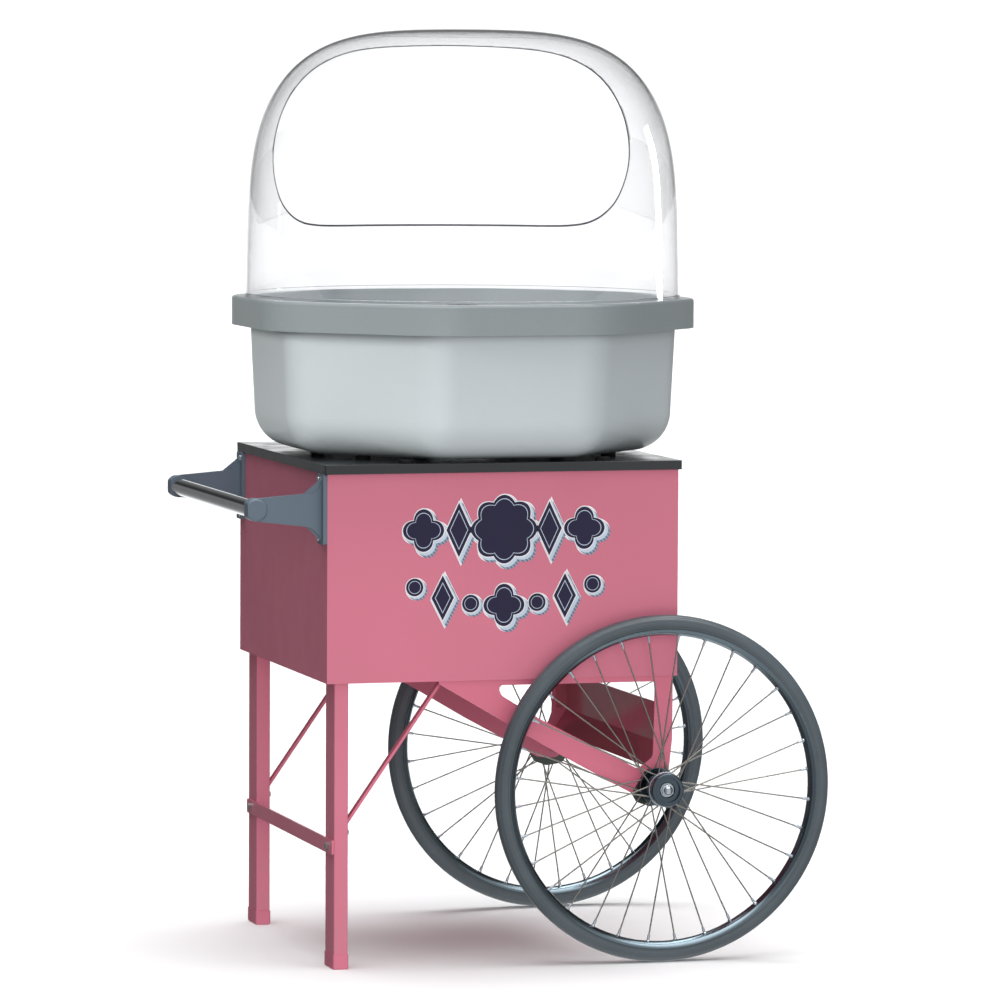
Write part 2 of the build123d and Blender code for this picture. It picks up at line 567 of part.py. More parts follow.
def dome_solid(off, z_add=0.0):
    p = dome_profile(off)
    sp = Spline(*p, tangents=[(0, 1), (-1, 0)])
    ln = [sp, Line(p[-1], (0, dome_z0 - z_add)), Line((0, dome_z0 - z_add), (p[0][0], dome_z0 - z_add))]
    if z_add:
        ln.append(Line((p[0][0], dome_z0 - z_add), p[0]))
    sk = make_face(ln)
    return Pos(mx, 0, 0) * revolve(Plane.XZ * sk, Axis.Z)


dome = dome_solid(0)
dome = dome + (zcyl(mx, 0, dome_z0, dome_z0 + 5, dome_r + 2.9))
dome = dome - dome_solid(dome_t, 2.0)
# serving opening: a soft D lying on its flat side, cut straight through one side of the dome
half = [(0, 1057), (60, 1057), (115, 1057), (162, 1057), (195, 1058.4), (220, 1063.4), (240, 1075.5), (257, 1097), (268, 1128),
        (272.5, 1162), (269.5, 1198), (259.5, 1234), (242, 1267), (217.5, 1294.5), (186, 1315), (151, 1328), (108, 1335.6), (55, 1339.6), (0, 1341)]
knots = half + [(-u, z) for u, z in reversed(half[1:-1])]
wpts = []
for i in range(len(knots)):
    q0, q1, q2, q3 = (knots[(i + d) % len(knots)] for d in (-1, 0, 1, 2))
    for t in (0.0, 0.5):
        wpts.append(Vector(*(0.5 * (2 * b + (c - a) * t + (2 * a - 5 * b + 4 * c - d) * t * t + (3 * b - a - 3 * c + d) * t ** 3)
                             for a, b, c, d in zip(q0, q1, q2, q3))))
wsk = make_face(Spline(*wpts, periodic=True))
wpl = Plane(origin=(0, 0, 0), x_dir=(-1, 0, 0), z_dir=(0, 1, 0))
wpr = extrude(wpl * wsk, 400)
wpr = Pos(mx, 0, 0) * (Rot(0, 0, -win_turn) * wpr)
dome = dome - wpr
add("dome", dome)

# ---------------------------------------------------------------- rear storage door
dy0 = hy + 0.3
dr = box(door_x[0], door_x[1], dy0, dy0 + 12, door_z[0], door_z[1])
dr = fillet(dr.edges().filter_by(Axis.Y), 4)
dr = dr - box(door_x[0] + 2, door_x[1] - 2, dy0 - 1, dy0 + 10, door_z[0] + 2, door_z[1] - 2)
hinge_x = door_x[0] - 4.5
hinge_y = hy + 5.2
latch_x, latch_z = door_x[1] - 21.0, (door_z[0] + door_z[1]) / 2
dr = dr - ycyl(latch_x, latch_z, dy0 - 2, dy0 + 14, 5.0)
# knuckles of the moving leaf, welded to the door's edge
k_m = []
for (z0, z1) in ((463.3, 476.7), (653.3, 666.7)):
    kk = zcyl(hinge_x, hinge_y, z0, z1, 4.0) + box(hinge_x, door_x[0] + 0.0, hinge_y - 1.0, hinge_y + 1.0, z0, z1)
    kk = kk + box(door_x[0] - 0.5, door_x[0] + 2, dy0 + 1, hinge_y + 1.0, z0, z1)
    kk = kk - zcyl(hinge_x, hinge_y, z0 - 1, z1 + 1, 2.0 + run_gap)
    dr = dr + kk
add("rear_door", dr)
k_f = []
for (z0, z1) in ((450, 463), (477, 490), (640, 653), (667, 680)):
    kk = zcyl(hinge_x, hinge_y, z0, z1, 4.0) + box(hinge_x - 14, hinge_x, hy, hy + 2.0, z0, z1) + box(hinge_x - 4, hinge_x, hy, hinge_y, z0, z1)
    kk = kk - zcyl(hinge_x, hinge_y, z0 - 1, z1 + 1, 2.0)
    k_f.append(kk)
pins = [zcyl(hinge_x, hinge_y, 448.5, 491.5, 2.0), zcyl(hinge_x, hinge_y, 638.5, 681.5, 2.0)]
add("door_hinges", group(k_f + pins))
# quarter-turn latch, drawn unlatched: knob outside, cam behind the door pointing down
ly0 = dy0 + 12.3
lt = ycyl(latch_x, latch_z, ly0, ly0 + 4, 11) + box(latch_x - 3, latch_x + 3, ly0 + 4, ly0 + 15, latch_z - 10.5, latch_z + 10.5)
lt = lt + ycyl(latch_x, latch_z, hy - 7.5, ly0, 5.0 - run_gap)
lt = lt + box(latch_x - 5.5, latch_x + 5.5, hy - 7.5, hy - 4.3, latch_z - 17, latch_z + 5.5)
add("door_latch", lt)

# ---------------------------------------------------------------- controls on the operator's side
cpy = hy
ctl = box(ctl_x[0], ctl_x[1], cpy, cpy + 2.0, ctl_z[0], ctl_z[1])
ctl = fillet(ctl.edges().filter_by(Axis.Y), 5)
sw_x = (58.0, 98.0)
knob_x = 150.0
volt_x = 203.0
ctl_zm = (ctl_z[0] + ctl_z[1]) / 2
for x in sw_x:
    ctl = ctl - box(x - 10.5, x + 10.5, cpy - 1, cpy + 4, ctl_zm - 15, ctl_zm + 15)
ctl = ctl - ycyl(knob_x, ctl_zm, cpy - 1, cpy + 4, 4.0)
ctl = ctl - ycyl(volt_x, ctl_zm, cpy - 1, cpy + 4, 20.0)
add("control_plate", ctl)


def bezel(x):
    o = box(x - 13, x + 13, cpy + 2, cpy + 5, ctl_zm - 17.5, ctl_zm + 17.5)
    o = fillet(o.edges().filter_by(Axis.Y), 2)
    o = o + box(x - 10.4, x + 10.4, cpy - 16, cpy + 2, ctl_zm - 14.9, ctl_zm + 14.9)
    return o - box(x - 8.6, x + 8.6, cpy - 8, cpy + 6, ctl_zm - 13.3, ctl_zm + 13.3)


add("switch_bezels", group([bezel(x) for x in sw_x]))


def rocker(x):
    # rocker with two facets; it turns about an axis along X inside its bezel
    pts = [(-11.2, 2.2), (-11.0, 6.0), (0, 3.4), (11.0, 8.4), (11.2, 2.2), (7, -2.0), (-7, -2.0)]
    sk = make_face(Polyline(*[Vector(z, y) for z, y in pts], close=True))
    pl = Plane(origin=(x + 8.2, cpy, ctl_zm), x_dir=(0, 0, 1), z_dir=(-1, 0, 0))
    return extrude(pl * sk, 16.4)


add("power_switch_rocker", rocker(sw_x[0]))
add("heat_switch_rocker", rocker(sw_x[1]))
kn = ycyl(knob_x, ctl_zm, cpy + 2.4, cpy + 6, 17) + ycyl(knob_x, ctl_zm, cpy + 6, cpy + 19, 13.5)
kn = fillet(kn.edges().sort_by(Axis.Y)[-1], 1.5)
kn = kn + ycyl(knob_x, ctl_zm, cpy - 30, cpy + 4, 3.0)
kn = kn + box(knob_x - 1.2, knob_x + 1.2, cpy + 17, cpy + 20.2, ctl_zm + 2, ctl_zm + 13)
for k in range(12):
    a = math.radians(30 * k)
    kn = kn - ycyl(knob_x + 14.6 * math.cos(a), ctl_zm + 14.6 * math.sin(a), cpy + 6.5, cpy + 20.5, 2.0)
add("heat_knob", kn)
vm = ycyl(volt_x, ctl_zm, cpy + 2, cpy + 6, 24) + ycyl(volt_x, ctl_zm, cpy - 24, cpy + 2, 19.9)
vm = vm - ycyl(volt_x, ctl_zm, cpy + 3, cpy + 8, 20.5)
vl = ycyl(volt_x, ctl_zm, cpy + 4.4, cpy + 6.6, 20.4)
add("voltmeter", group([vm, vl]))
inl = box(inlet_x - 25, inlet_x + 25, hy, hy + 2.5, inlet_z - 13, inlet_z + 13)
inl = fillet(inl.edges().filter_by(Axis.Y), 5)
inl = inl + box(inlet_x - 13.9, inlet_x + 13.9, hy - 22, hy, inlet_z - 10.4, inlet_z + 10.4)
inl = inl - box(inlet_x - 11.9, inlet_x + 11.9, hy - 16, hy + 4, inlet_z - 8.0, inlet_z + 8.0)
for dx, dz in ((-7, -1.5), (7, -1.5), (0, 2.5)):
    inl = inl + box(inlet_x + dx - 1, inlet_x + dx + 1, hy - 16.5, hy - 4, inlet_z + dz - 2, inlet_z + dz + 2)
add("power_inlet", inl)

# ---------------------------------------------------------------- front ornament: thin applied shapes
def lobed(cx, cz, R, n, depth, m=64):
    # outline with n round lobes
    pts = []
    for k in range(m):
        a = 2 * math.pi * k / m
        q = R * (1 - depth + depth * abs(math.cos(n * a / 2)))
        pts.append((cx + q * math.cos(a), cz + q * math.sin(a)))
    return pts


def diamond(cx, cz, a, b):
    return [(cx + a, cz), (cx, cz + b), (cx - a, cz), (cx, cz - b)]


orn = []
for pts in (lobed(0, 634, 50, 8, 0.16, 96), lobed(-121, 634, 31, 4, 0.34), lobed(121, 634, 31, 4, 0.34),
            diamond(-68, 634, 19, 40), diamond(68, 634, 19, 40),
            lobed(0, 524, 31, 4, 0.34), diamond(-92, 536, 17, 33), diamond(92, 536, 17, 33)):
    orn.append(xz_plate(pts, -hy - 0.4, -hy))
for (x, z) in ((-50, 527), (50, 527), (-134, 552), (134, 552)):
    orn.append(ycyl(x, z, -hy - 0.4, -hy, 13))
add("front_ornament", group(orn))

# ---------------------------------------------------------------- write
for name, shape in parts.items():
    export_step(shape, "parts/%s.step" % name)
print(len(parts), "nodes", "x_shift", x_shift)
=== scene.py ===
import math

import bmesh
import bpy
from mathutils import Matrix, Vector


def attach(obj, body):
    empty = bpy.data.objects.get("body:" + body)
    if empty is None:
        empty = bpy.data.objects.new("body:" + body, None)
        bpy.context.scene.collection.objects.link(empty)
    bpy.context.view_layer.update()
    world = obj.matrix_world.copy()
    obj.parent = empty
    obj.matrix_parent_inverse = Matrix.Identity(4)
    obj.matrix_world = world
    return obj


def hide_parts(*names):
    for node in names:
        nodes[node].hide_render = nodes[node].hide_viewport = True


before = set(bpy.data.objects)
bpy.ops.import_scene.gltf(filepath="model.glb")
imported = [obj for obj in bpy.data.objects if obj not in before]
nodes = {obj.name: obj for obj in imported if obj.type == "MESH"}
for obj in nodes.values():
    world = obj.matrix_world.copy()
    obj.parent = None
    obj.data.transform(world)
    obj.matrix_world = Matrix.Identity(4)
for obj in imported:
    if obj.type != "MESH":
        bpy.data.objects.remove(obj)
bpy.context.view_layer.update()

scene = bpy.context.scene

# Drawing coordinates are millimetres about the middle of the cabinet; SX moves them along X into the frame.
MM = 0.001
SX = -53.7
# main sizes, as in the construction
HX = HY = 264.0
CAB_Z0, LID_Z0, LID_Z1 = 415.0, 717.0, 730.5
AX, AZ, WY = 232.4, 254.0, 296.4
MX = 10.0


def P(x, y, z):
    return Vector(((x + SX) * MM, y * MM, z * MM))


# ---------------------------------------------------------------- camera
cam_data = bpy.data.cameras.new("camera")
cam = bpy.data.objects.new("camera", cam_data)
scene.collection.objects.link(cam)
scene.camera = cam
cam_data.sensor_fit = "AUTO"
cam_data.sensor_width = 36.0
cam_data.lens = 217.847
cam_data.clip_start = 0.1
cam_data.clip_end = 600.0
right = Vector((0.96071414, -0.27749886, 0.00476635))
up = Vector((0.01582901, 0.07193025, 0.99728405))
fwd = Vector((0.27708803, 0.95802945, -0.07349694))
m = Matrix.Identity(4)
for i in range(3):
    m[i][0] = right[i]
    m[i][1] = up[i]
    m[i][2] = -fwd[i]
m[0][3], m[1][3], m[2][3] = -2.48336, -8.64183, 1.31909
cam.matrix_world = m


# ---------------------------------------------------------------- node helpers
def lin(c):
    def f(v):
        v = v / 255.0
        return v / 12.92 if v <= 0.04045 else ((v + 0.055) / 1.055) ** 2.4
    return (f(c[0]), f(c[1]), f(c[2]), 1.0)


def scale_col(c, k):
    return (min(c[0] * k, 1.0), min(c[1] * k, 1.0), min(c[2] * k, 1.0), 1.0)


class Mat:
    """A Principled material with object-space noise to build on."""

    def __init__(self, name, rough=0.5, metallic=0.0, spec=0.5, ior=1.5):
        self.m = bpy.data.materials.new(name)
        self.m.use_nodes = True
        self.t = self.m.node_tree
        self.t.nodes.clear()
        self.out = self.n("ShaderNodeOutputMaterial")
        self.p = self.n("ShaderNodeBsdfPrincipled")
        self.t.links.new(self.p.outputs[0], self.out.inputs[0])
        self.p.inputs["Metallic"].default_value = metallic
        self.p.inputs["Roughness"].default_value = rough
        self.p.inputs["Specular IOR Level"].default_value = spec
        self.p.inputs["IOR"].default_value = ior
        self.tc = self.n("ShaderNodeTexCoord")
        self.co = self.tc.outputs["Object"]

    def n(self, kind, **kw):
        node = self.t.nodes.new(kind)
        for k, v in kw.items():
            setattr(node, k, v)
        return node

    def link(self, a, b):
        self.t.links.new(a, b)

    def stretch(self, sx, sy, sz):
        mp = self.n("ShaderNodeMapping")
        mp.inputs["Scale"].default_value = (sx, sy, sz)
        self.link(self.co, mp.inputs["Vector"])
        return mp.outputs[0]

    def noise(self, scale, detail=3.0, rough=0.55, vec=None, dist=0.0):
        t = self.n("ShaderNodeTexNoise")
        t.inputs["Scale"].default_value = scale
        t.inputs["Detail"].default_value = detail
        t.inputs["Roughness"].default_value = rough
        t.inputs["Distortion"].default_value = dist
        self.link(vec or self.co, t.inputs["Vector"])
        return t.outputs["Fac"]

    def ramp(self, fac, stops):
        r = self.n("ShaderNodeValToRGB")
        e = r.color_ramp.elements
        while len(e) < len(stops):
            e.new(0.5)
        for el, (pos, c) in zip(e, stops):
            el.position = pos
            el.color = c if isinstance(c, tuple) else (c, c, c, 1.0)
        self.link(fac, r.inputs[0])
        return r.outputs[0]

    def mix(self, fac, a, b):
        x = self.n("ShaderNodeMix", data_type="RGBA")
        for sock, v in ((x.inputs[0], fac), (x.inputs[6], a), (x.inputs[7], b)):
            if isinstance(v, (int, float)):
                sock.default_value = v
            elif isinstance(v, tuple):
                sock.default_value = v
            else:
                self.link(v, sock)
        return x.outputs[2]

    def math(self, op, a, b=0.0, clamp=False):
        x = self.n("ShaderNodeMath", operation=op, use_clamp=clamp)
        for sock, v in ((x.inputs[0], a), (x.inputs[1], b)):
            if isinstance(v, (int, float)):
                sock.default_value = v
            else:
                self.link(v, sock)
        return x.outputs[0]

    def span(self, v, a, b, c, d, smooth=True):
        x = self.n("ShaderNodeMapRange")
        if smooth:
            x.interpolation_type = "SMOOTHSTEP"
        for k, val in enumerate((a, b, c, d)):
            x.inputs[k + 1].default_value = val
        self.link(v, x.inputs[0])
        return x.outputs[0]

    def xyz(self):
        s = self.n("ShaderNodeSeparateXYZ")
        self.link(self.co, s.inputs[0])
        return s.outputs

    def colour(self, sock):
        self.link(sock, self.p.inputs["Base Color"])

    def rough(self, lo, hi, scale=30.0, vec=None, detail=4.0):
        self.link(self.span(self.noise(scale, detail, vec=vec), 0.3, 0.7, lo, hi), self.p.inputs["Roughness"])

    def edge(self, radius=0.0012, lo=0.03, hi=0.35, samples=4):
        """How near a point is to a sharp edge, 0 to 1."""
        bv = self.n("ShaderNodeBevel", samples=samples)
        bv.inputs["Radius"].default_value = radius
        g = self.n("ShaderNodeNewGeometry")
        d = self.n("ShaderNodeVectorMath", operation="DOT_PRODUCT")
        self.link(bv.outputs[0], d.inputs[0])
        self.link(g.outputs["Normal"], d.inputs[1])
        self.bevel = bv
        return self.span(d.outputs["Value"], 1.0 - lo, 1.0 - hi, 0.0, 1.0)

    def bump(self, parts, normal=None):
        """parts: (height socket, distance in metres, strength)."""
        last = normal
        for h, dist, strength in parts:
            b = self.n("ShaderNodeBump")
            b.inputs["Strength"].default_value = strength
            b.inputs["Distance"].default_value = dist
            self.link(h, b.inputs["Height"])
            if last is not None:
                self.link(last, b.inputs["Normal"])
            last = b.outputs[0]
        self.link(last, self.p.inputs["Normal"])


MATS = {}


def paint(name, col, rough=(0.28, 0.4), peel=0.045, wear=None, wear_amt=0.5, var=0.045, dust=0.0, coat=0.0, metallic=0.0, spec=0.5, top_shade=0.0):
    """Sprayed enamel: soft tone changes, orange peel, rubbed edges, and optional painted shade darkening the top of a
    panel.
    """
    a = Mat(name, metallic=metallic, spec=spec)
    base = lin(col)
    broad = a.noise(3.2, 2.0)
    c = a.mix(a.span(broad, 0.3, 0.7, 0.0, 1.0), scale_col(base, 1.0 - var), scale_col(base, 1.0 + var))
    speck = a.span(a.noise(900.0, 1.0), 0.62, 0.75, 0.0, 0.04)
    c = a.mix(speck, c, scale_col(base, 0.6))
    if top_shade:
        # painted shade: the paint is made a little darker towards the top of the panel, where the overhang above shades
        # it
        c = a.mix(a.span(a.xyz()[2], 0.45, 0.72, 0.0, top_shade, True), c, scale_col(base, 0.6))
    if dust:
        z = a.xyz()[2]
        low = a.math("MULTIPLY", a.span(z, 0.16, 0.0, 0.0, 1.0, True), a.span(a.noise(38.0, 6.0), 0.35, 0.7, 0.0, dust))
        c = a.mix(low, c, lin((150, 128, 120)))
    mask = a.edge(0.0005, 0.08, 0.4)
    worn = a.math("MULTIPLY", mask, a.span(a.noise(160.0, 5.0, 0.7), 0.45, 0.62, 0.0, wear_amt), True)
    c = a.mix(worn, c, lin(wear) if wear else scale_col(base, 1.35))
    a.colour(c)
    a.rough(rough[0], rough[1], 22.0)
    if coat:
        a.p.inputs["Coat Weight"].default_value = coat
        a.p.inputs["Coat Roughness"].default_value = 0.12
    a.bump(((a.noise(330.0, 1.0), 0.00025, peel), (a.noise(5.0, 1.0), 0.0012, 0.05)))
    return a


def plastic(name, col, rough=(0.3, 0.45), grain=0.12, grain_scale=700.0, var=0.04, spec=0.5, scratch=0.05):
    """Moulded plastic: faint grain, scuffs and tone changes."""
    a = Mat(name, spec=spec)
    base = lin(col)
    c = a.mix(a.span(a.noise(5.0, 3.0), 0.3, 0.7, 0.0, 1.0), scale_col(base, 1 - var), scale_col(base, 1 + var))
    scuff = a.span(a.noise(14.0, 8.0, 0.75, a.stretch(1.0, 1.0, 7.0)), 0.62, 0.8, 0.0, scratch * 6)
    c = a.mix(scuff, c, scale_col(base, 1.25))
    mask = a.edge(0.001)
    c = a.mix(a.math("MULTIPLY", mask, a.span(a.noise(200.0, 3.0), 0.4, 0.7, 0.0, 0.5), True), c, scale_col(base, 1.6))
    a.colour(c)
    a.rough(rough[0], rough[1], 18.0)
    a.bump(((a.noise(grain_scale, 2.0), 0.0002, grain),), a.bevel.outputs[0])
    return a


def metal(name, col, rough=(0.18, 0.32), brush=None, grime=0.35, aniso=0.0, bump=0.06, grime_col=(58, 54, 50)):
    """Bare or plated metal: brushing or polish marks, dull patches, dirt that gathers away from edges."""
    a = Mat(name, metallic=1.0)
    base = lin(col)
    vec = a.stretch(*brush) if brush else None
    fine = a.noise(260.0, 3.0, 0.6, vec)
    c = a.mix(a.span(a.noise(9.0, 4.0), 0.3, 0.7, 0.0, 1.0), scale_col(base, 0.9), scale_col(base, 1.06))
    c = a.mix(a.span(fine, 0.35, 0.75, 0.0, 0.16), c, scale_col(base, 0.62))
    spots = a.span(a.noise(70.0, 7.0, 0.7), 0.58, 0.74, 0.0, grime)
    c = a.mix(spots, c, lin(grime_col))
    mask = a.edge(0.0009)
    c = a.mix(a.math("MULTIPLY", mask, 0.5), c, scale_col(base, 1.3))
    a.colour(c)
    r = a.span(a.noise(45.0, 6.0), 0.3, 0.75, rough[0], rough[1])
    a.link(a.math("ADD", r, a.math("MULTIPLY", spots, 0.3), True), a.p.inputs["Roughness"])
    a.p.inputs["Anisotropic"].default_value = aniso
    a.bump(((fine, 0.0001, bump),), a.bevel.outputs[0])
    return a


# ---------------------------------------------------------------- materials
PINK = (196, 115, 134)
# pink cabinet enamel, with painted shade darkening it towards the top of the panels
MATS["pink"] = paint("pink_enamel", PINK, rough=(0.29, 0.38), wear=(206, 138, 150), wear_amt=0.4, var=0.03, dust=0.18, spec=0.03, top_shade=0.22)
MATS["pink_bracket"] = paint("pink_enamel_bracket", (200, 106, 128), rough=(0.29, 0.38), wear=(196, 120, 138), wear_amt=0.5, var=0.05)
# darker copy of the pink enamel: painted shade for the axle cross plate under the cabinet, with a clear coat on top
MATS["pink_cross_shaded"] = paint("pink_enamel_gloss_shaded", (172, 84, 99), rough=(0.12, 0.24), wear=(170, 90, 105), wear_amt=0.4, var=0.05, coat=0.4)
MATS["pink_cap"] = plastic("pink_foot_plastic", (198, 108, 130), rough=(0.4, 0.55), grain=0.25)
MATS["rear"] = paint("pink_enamel_rear", (194, 111, 130), rough=(0.3, 0.42), wear=(200, 130, 146), wear_amt=0.4, dust=0.2)
MATS["bracket_far"] = MATS["pink_bracket"]

d = paint("deck_enamel", (44, 47, 50), rough=(0.14, 0.24), peel=0.08, wear=(150, 156, 160), wear_amt=0.8, var=0.08)
MATS["deck"] = d
MATS["casting"] = paint("cast_grey_enamel", (98, 112, 125), rough=(0.32, 0.46), peel=0.25, wear=(156, 168, 178), wear_amt=0.6, var=0.06)
MATS["chrome"] = metal("polished_chrome", (226, 228, 230), rough=(0.025, 0.07), grime=0.05, bump=0.01)
MATS["tube_chrome"] = metal("tube_chrome", (214, 217, 220), rough=(0.02, 0.06), grime=0.06, bump=0.01)
MATS["steel"] = metal("zinc_steel", (176, 178, 180), rough=(0.22, 0.42), grime=0.4, bump=0.12)
MATS["boss"] = metal("dull_steel", (92, 98, 94), rough=(0.35, 0.55), grime=0.6, bump=0.2)
MATS["hub"] = metal("hub_steel", (104, 118, 128), rough=(0.16, 0.32), grime=0.3, bump=0.08)
MATS["hub_cap"] = metal("hub_cap_steel", (88, 100, 109), rough=(0.14, 0.26), grime=0.22, bump=0.05)
MATS["nut"] = metal("bright_nut", (206, 214, 222), rough=(0.05, 0.14), grime=0.1, bump=0.03)
MATS["spoke"] = metal("spoke_wire", (158, 156, 150), rough=(0.18, 0.4), brush=(1.0, 1.0, 1.0), grime=0.55, bump=0.05)
MATS["rim"] = metal("wheel_rim_steel", (118, 132, 140), rough=(0.1, 0.2), grime=0.22, bump=0.04)
MATS["alu"] = metal("spun_aluminium", (182, 184, 186), rough=(0.16, 0.3), grime=0.18, bump=0.08)
MATS["head_cap"] = metal("head_cap_dark", (96, 100, 106), rough=(0.08, 0.2), grime=0.4, bump=0.05)
MATS["brass"] = metal("brass", (198, 156, 84), rough=(0.2, 0.35), grime=0.35)
MATS["iron"] = metal("dark_iron", (86, 84, 82), rough=(0.4, 0.6), grime=0.5, bump=0.2)
MATS["ribbon"] = metal("resistance_ribbon", (146, 138, 128), rough=(0.25, 0.4), grime=0.4)
MATS["motor"] = paint("motor_enamel", (38, 40, 42), rough=(0.35, 0.5), peel=0.5, wear=(120, 120, 120), wear_amt=0.7)
MATS["control"] = metal("brushed_control_plate", (168, 171, 173), rough=(0.29, 0.42), brush=(2.0, 1.0, 60.0), grime=0.1, aniso=0.5, bump=0.08)
MATS["black"] = plastic("black_plastic", (26, 27, 29), rough=(0.35, 0.5), grain=0.25)
MATS["rubber"] = plastic("black_rubber", (24, 24, 25), rough=(0.6, 0.78), grain=0.5, grain_scale=420.0)
MATS["phenolic"] = plastic("phenolic", (92, 52, 30), rough=(0.45, 0.6), grain=0.3)
MATS["rocker_red"] = plastic("red_rocker", (176, 22, 24), rough=(0.14, 0.24), grain=0.05)
MATS["rocker_black"] = plastic("black_rocker", (22, 22, 24), rough=(0.18, 0.28), grain=0.05)

# tyre rubber: satin blue-grey, lengthways scuffs, paler dust in the grooves and on the tread
a = Mat("grey_tyre_rubber", spec=0.55)
base = lin((81, 91, 97))
c = a.mix(a.span(a.noise(7.0, 4.0), 0.3, 0.7, 0.0, 1.0), scale_col(base, 0.86), scale_col(base, 1.1))
c = a.mix(a.span(a.noise(55.0, 7.0, 0.7), 0.55, 0.75, 0.0, 0.22), c, lin((116, 121, 122)))
c = a.mix(a.span(a.noise(420.0, 3.0), 0.6, 0.75, 0.0, 0.35), c, scale_col(base, 0.55))
a.colour(c)
a.rough(0.3, 0.46, 26.0)
a.bump(((a.noise(520.0, 3.0), 0.00025, 0.22), (a.noise(60.0, 4.0), 0.0005, 0.12)))
MATS["tyre"] = a

# bowl: pale blue-grey shell with a faint waviness of the moulding; the darker rim and skirt and the darker upper inside
# are painted shade, standing for the shade under the flange lip and inside the bowl
a = Mat("bowl_plastic", spec=0.55)
body = lin((163, 170, 173))
rim_shade = lin((115, 122, 124))
inside_shade = lin((140, 146, 149))
x, y, z = a.xyz()
c = a.mix(a.span(a.noise(3.0, 1.0), 0.3, 0.7, 0.0, 1.0), scale_col(body, 0.975), scale_col(body, 1.02))
away = a.math("POWER", a.math("ADD", a.math("POWER", a.math("ABSOLUTE", a.math("SUBTRACT", x, (MX + SX) * MM)), 2.0), a.math("POWER", a.math("ABSOLUTE", y), 2.0)), 0.5)
# painted shade: above the skirt line the shell turns darker, deepest on the rim and skirt, less on the inside
c = a.mix(a.span(z, 0.9125, 0.9175, 0.0, 1.0), c, a.mix(a.span(away, 0.318, 0.322, 0.0, 1.0), inside_shade, rim_shade))
# fine hairline scratches, mostly running round the shell, a little paler than the plastic
hair = a.span(a.noise(60.0, 2.0, 0.5, a.stretch(1.0, 1.0, 14.0)), 0.70, 0.76, 0.0, 0.10)
c = a.mix(hair, c, lin((214, 219, 220)))
c = a.mix(a.math("MULTIPLY", a.edge(0.0016, 0.12, 0.4), 0.4), c, scale_col(body, 1.12))
a.colour(c)
a.rough(0.285, 0.33, 7.0, detail=2.0)
a.p.inputs["Subsurface Weight"].default_value = 0.15
a.p.inputs["Subsurface Radius"].default_value = (0.008, 0.008, 0.008)
a.p.inputs["Subsurface Scale"].default_value = 1.0
a.bump(((a.noise(6.0, 0.0), 0.0012, 0.04), (a.noise(500.0, 1.0), 0.0002, 0.03)))
MATS["bowl"] = a

# dome: clear acrylic, 4 mm thick; the wall's own faint lilac shows where it is seen edge-on
a = Mat("clear_acrylic", rough=0.02, ior=1.49)
a.p.inputs["Transmission Weight"].default_value = 1.0
a.p.inputs["Base Color"].default_value = (0.99, 0.992, 0.996, 1.0)
a.link(a.span(a.noise(16.0, 7.0, 0.7, a.stretch(1, 1, 3)), 0.5, 0.8, 0.0, 0.03), a.p.inputs["Roughness"])
a.bump(((a.noise(2.5, 0.0), 0.0004, 0.03),))
vol = a.n("ShaderNodeVolumeAbsorption")
vol.inputs["Color"].default_value = lin((138, 140, 154))
vol.inputs["Density"].default_value = 14.0
a.link(vol.outputs[0], a.out.inputs["Volume"])
MATS["dome"] = a

a = Mat("clear_lens", rough=0.02, ior=1.49)
a.p.inputs["Transmission Weight"].default_value = 1.0
a.p.inputs["Base Color"].default_value = (0.97, 0.98, 0.98, 1.0)
a.link(a.span(a.noise(120.0, 5.0), 0.5, 0.8, 0.015, 0.06), a.p.inputs["Roughness"])
MATS["lens"] = a

MATS["edging"] = plastic("dome_edging", (62, 64, 70), rough=(0.3, 0.45), grain=0.2)


def vinyl(name, col, hatch=None):
    a = Mat(name, spec=0.45)
    base = lin(col)
    c = a.mix(a.span(a.noise(20.0, 4.0), 0.3, 0.7, 0.0, 1.0), scale_col(base, 0.93), scale_col(base, 1.05))
    if hatch:
        # printed diagonal hatching
        w = a.n("ShaderNodeTexWave", wave_type="BANDS", bands_direction="DIAGONAL")
        w.inputs["Scale"].default_value = 95.0
        w.inputs["Distortion"].default_value = 0.0
        mp = a.n("ShaderNodeMapping")
        mp.inputs["Scale"].default_value = (1.0, 0.0, 1.0)
        a.link(a.co, mp.inputs["Vector"])
        a.link(mp.outputs[0], w.inputs["Vector"])
        c = a.mix(a.span(w.outputs["Fac"], 0.42, 0.58, 0.0, 1.0), c, lin(hatch))
    a.colour(c)
    a.rough(0.29, 0.4, 30.0)
    a.bump(((a.noise(480.0, 1.5), 0.0002, 0.1),))
    return a


MATS["navy"] = vinyl("navy_print", (26, 19, 56))
MATS["ice"] = vinyl("pale_blue_print", (196, 210, 226))
MATS["white"] = vinyl("white_print", (238, 236, 240))
MATS["hatch"] = vinyl("grey_hatch_print", (104, 116, 138), hatch=(150, 160, 178))
MATS["mark"] = vinyl("dark_marking", (22, 22, 24))
MATS["white_mark"] = vinyl("white_marking", (226, 226, 224))
MATS["needle"] = vinyl("red_needle", (190, 30, 24))
MATS["dial"] = vinyl("meter_dial", (228, 226, 216))

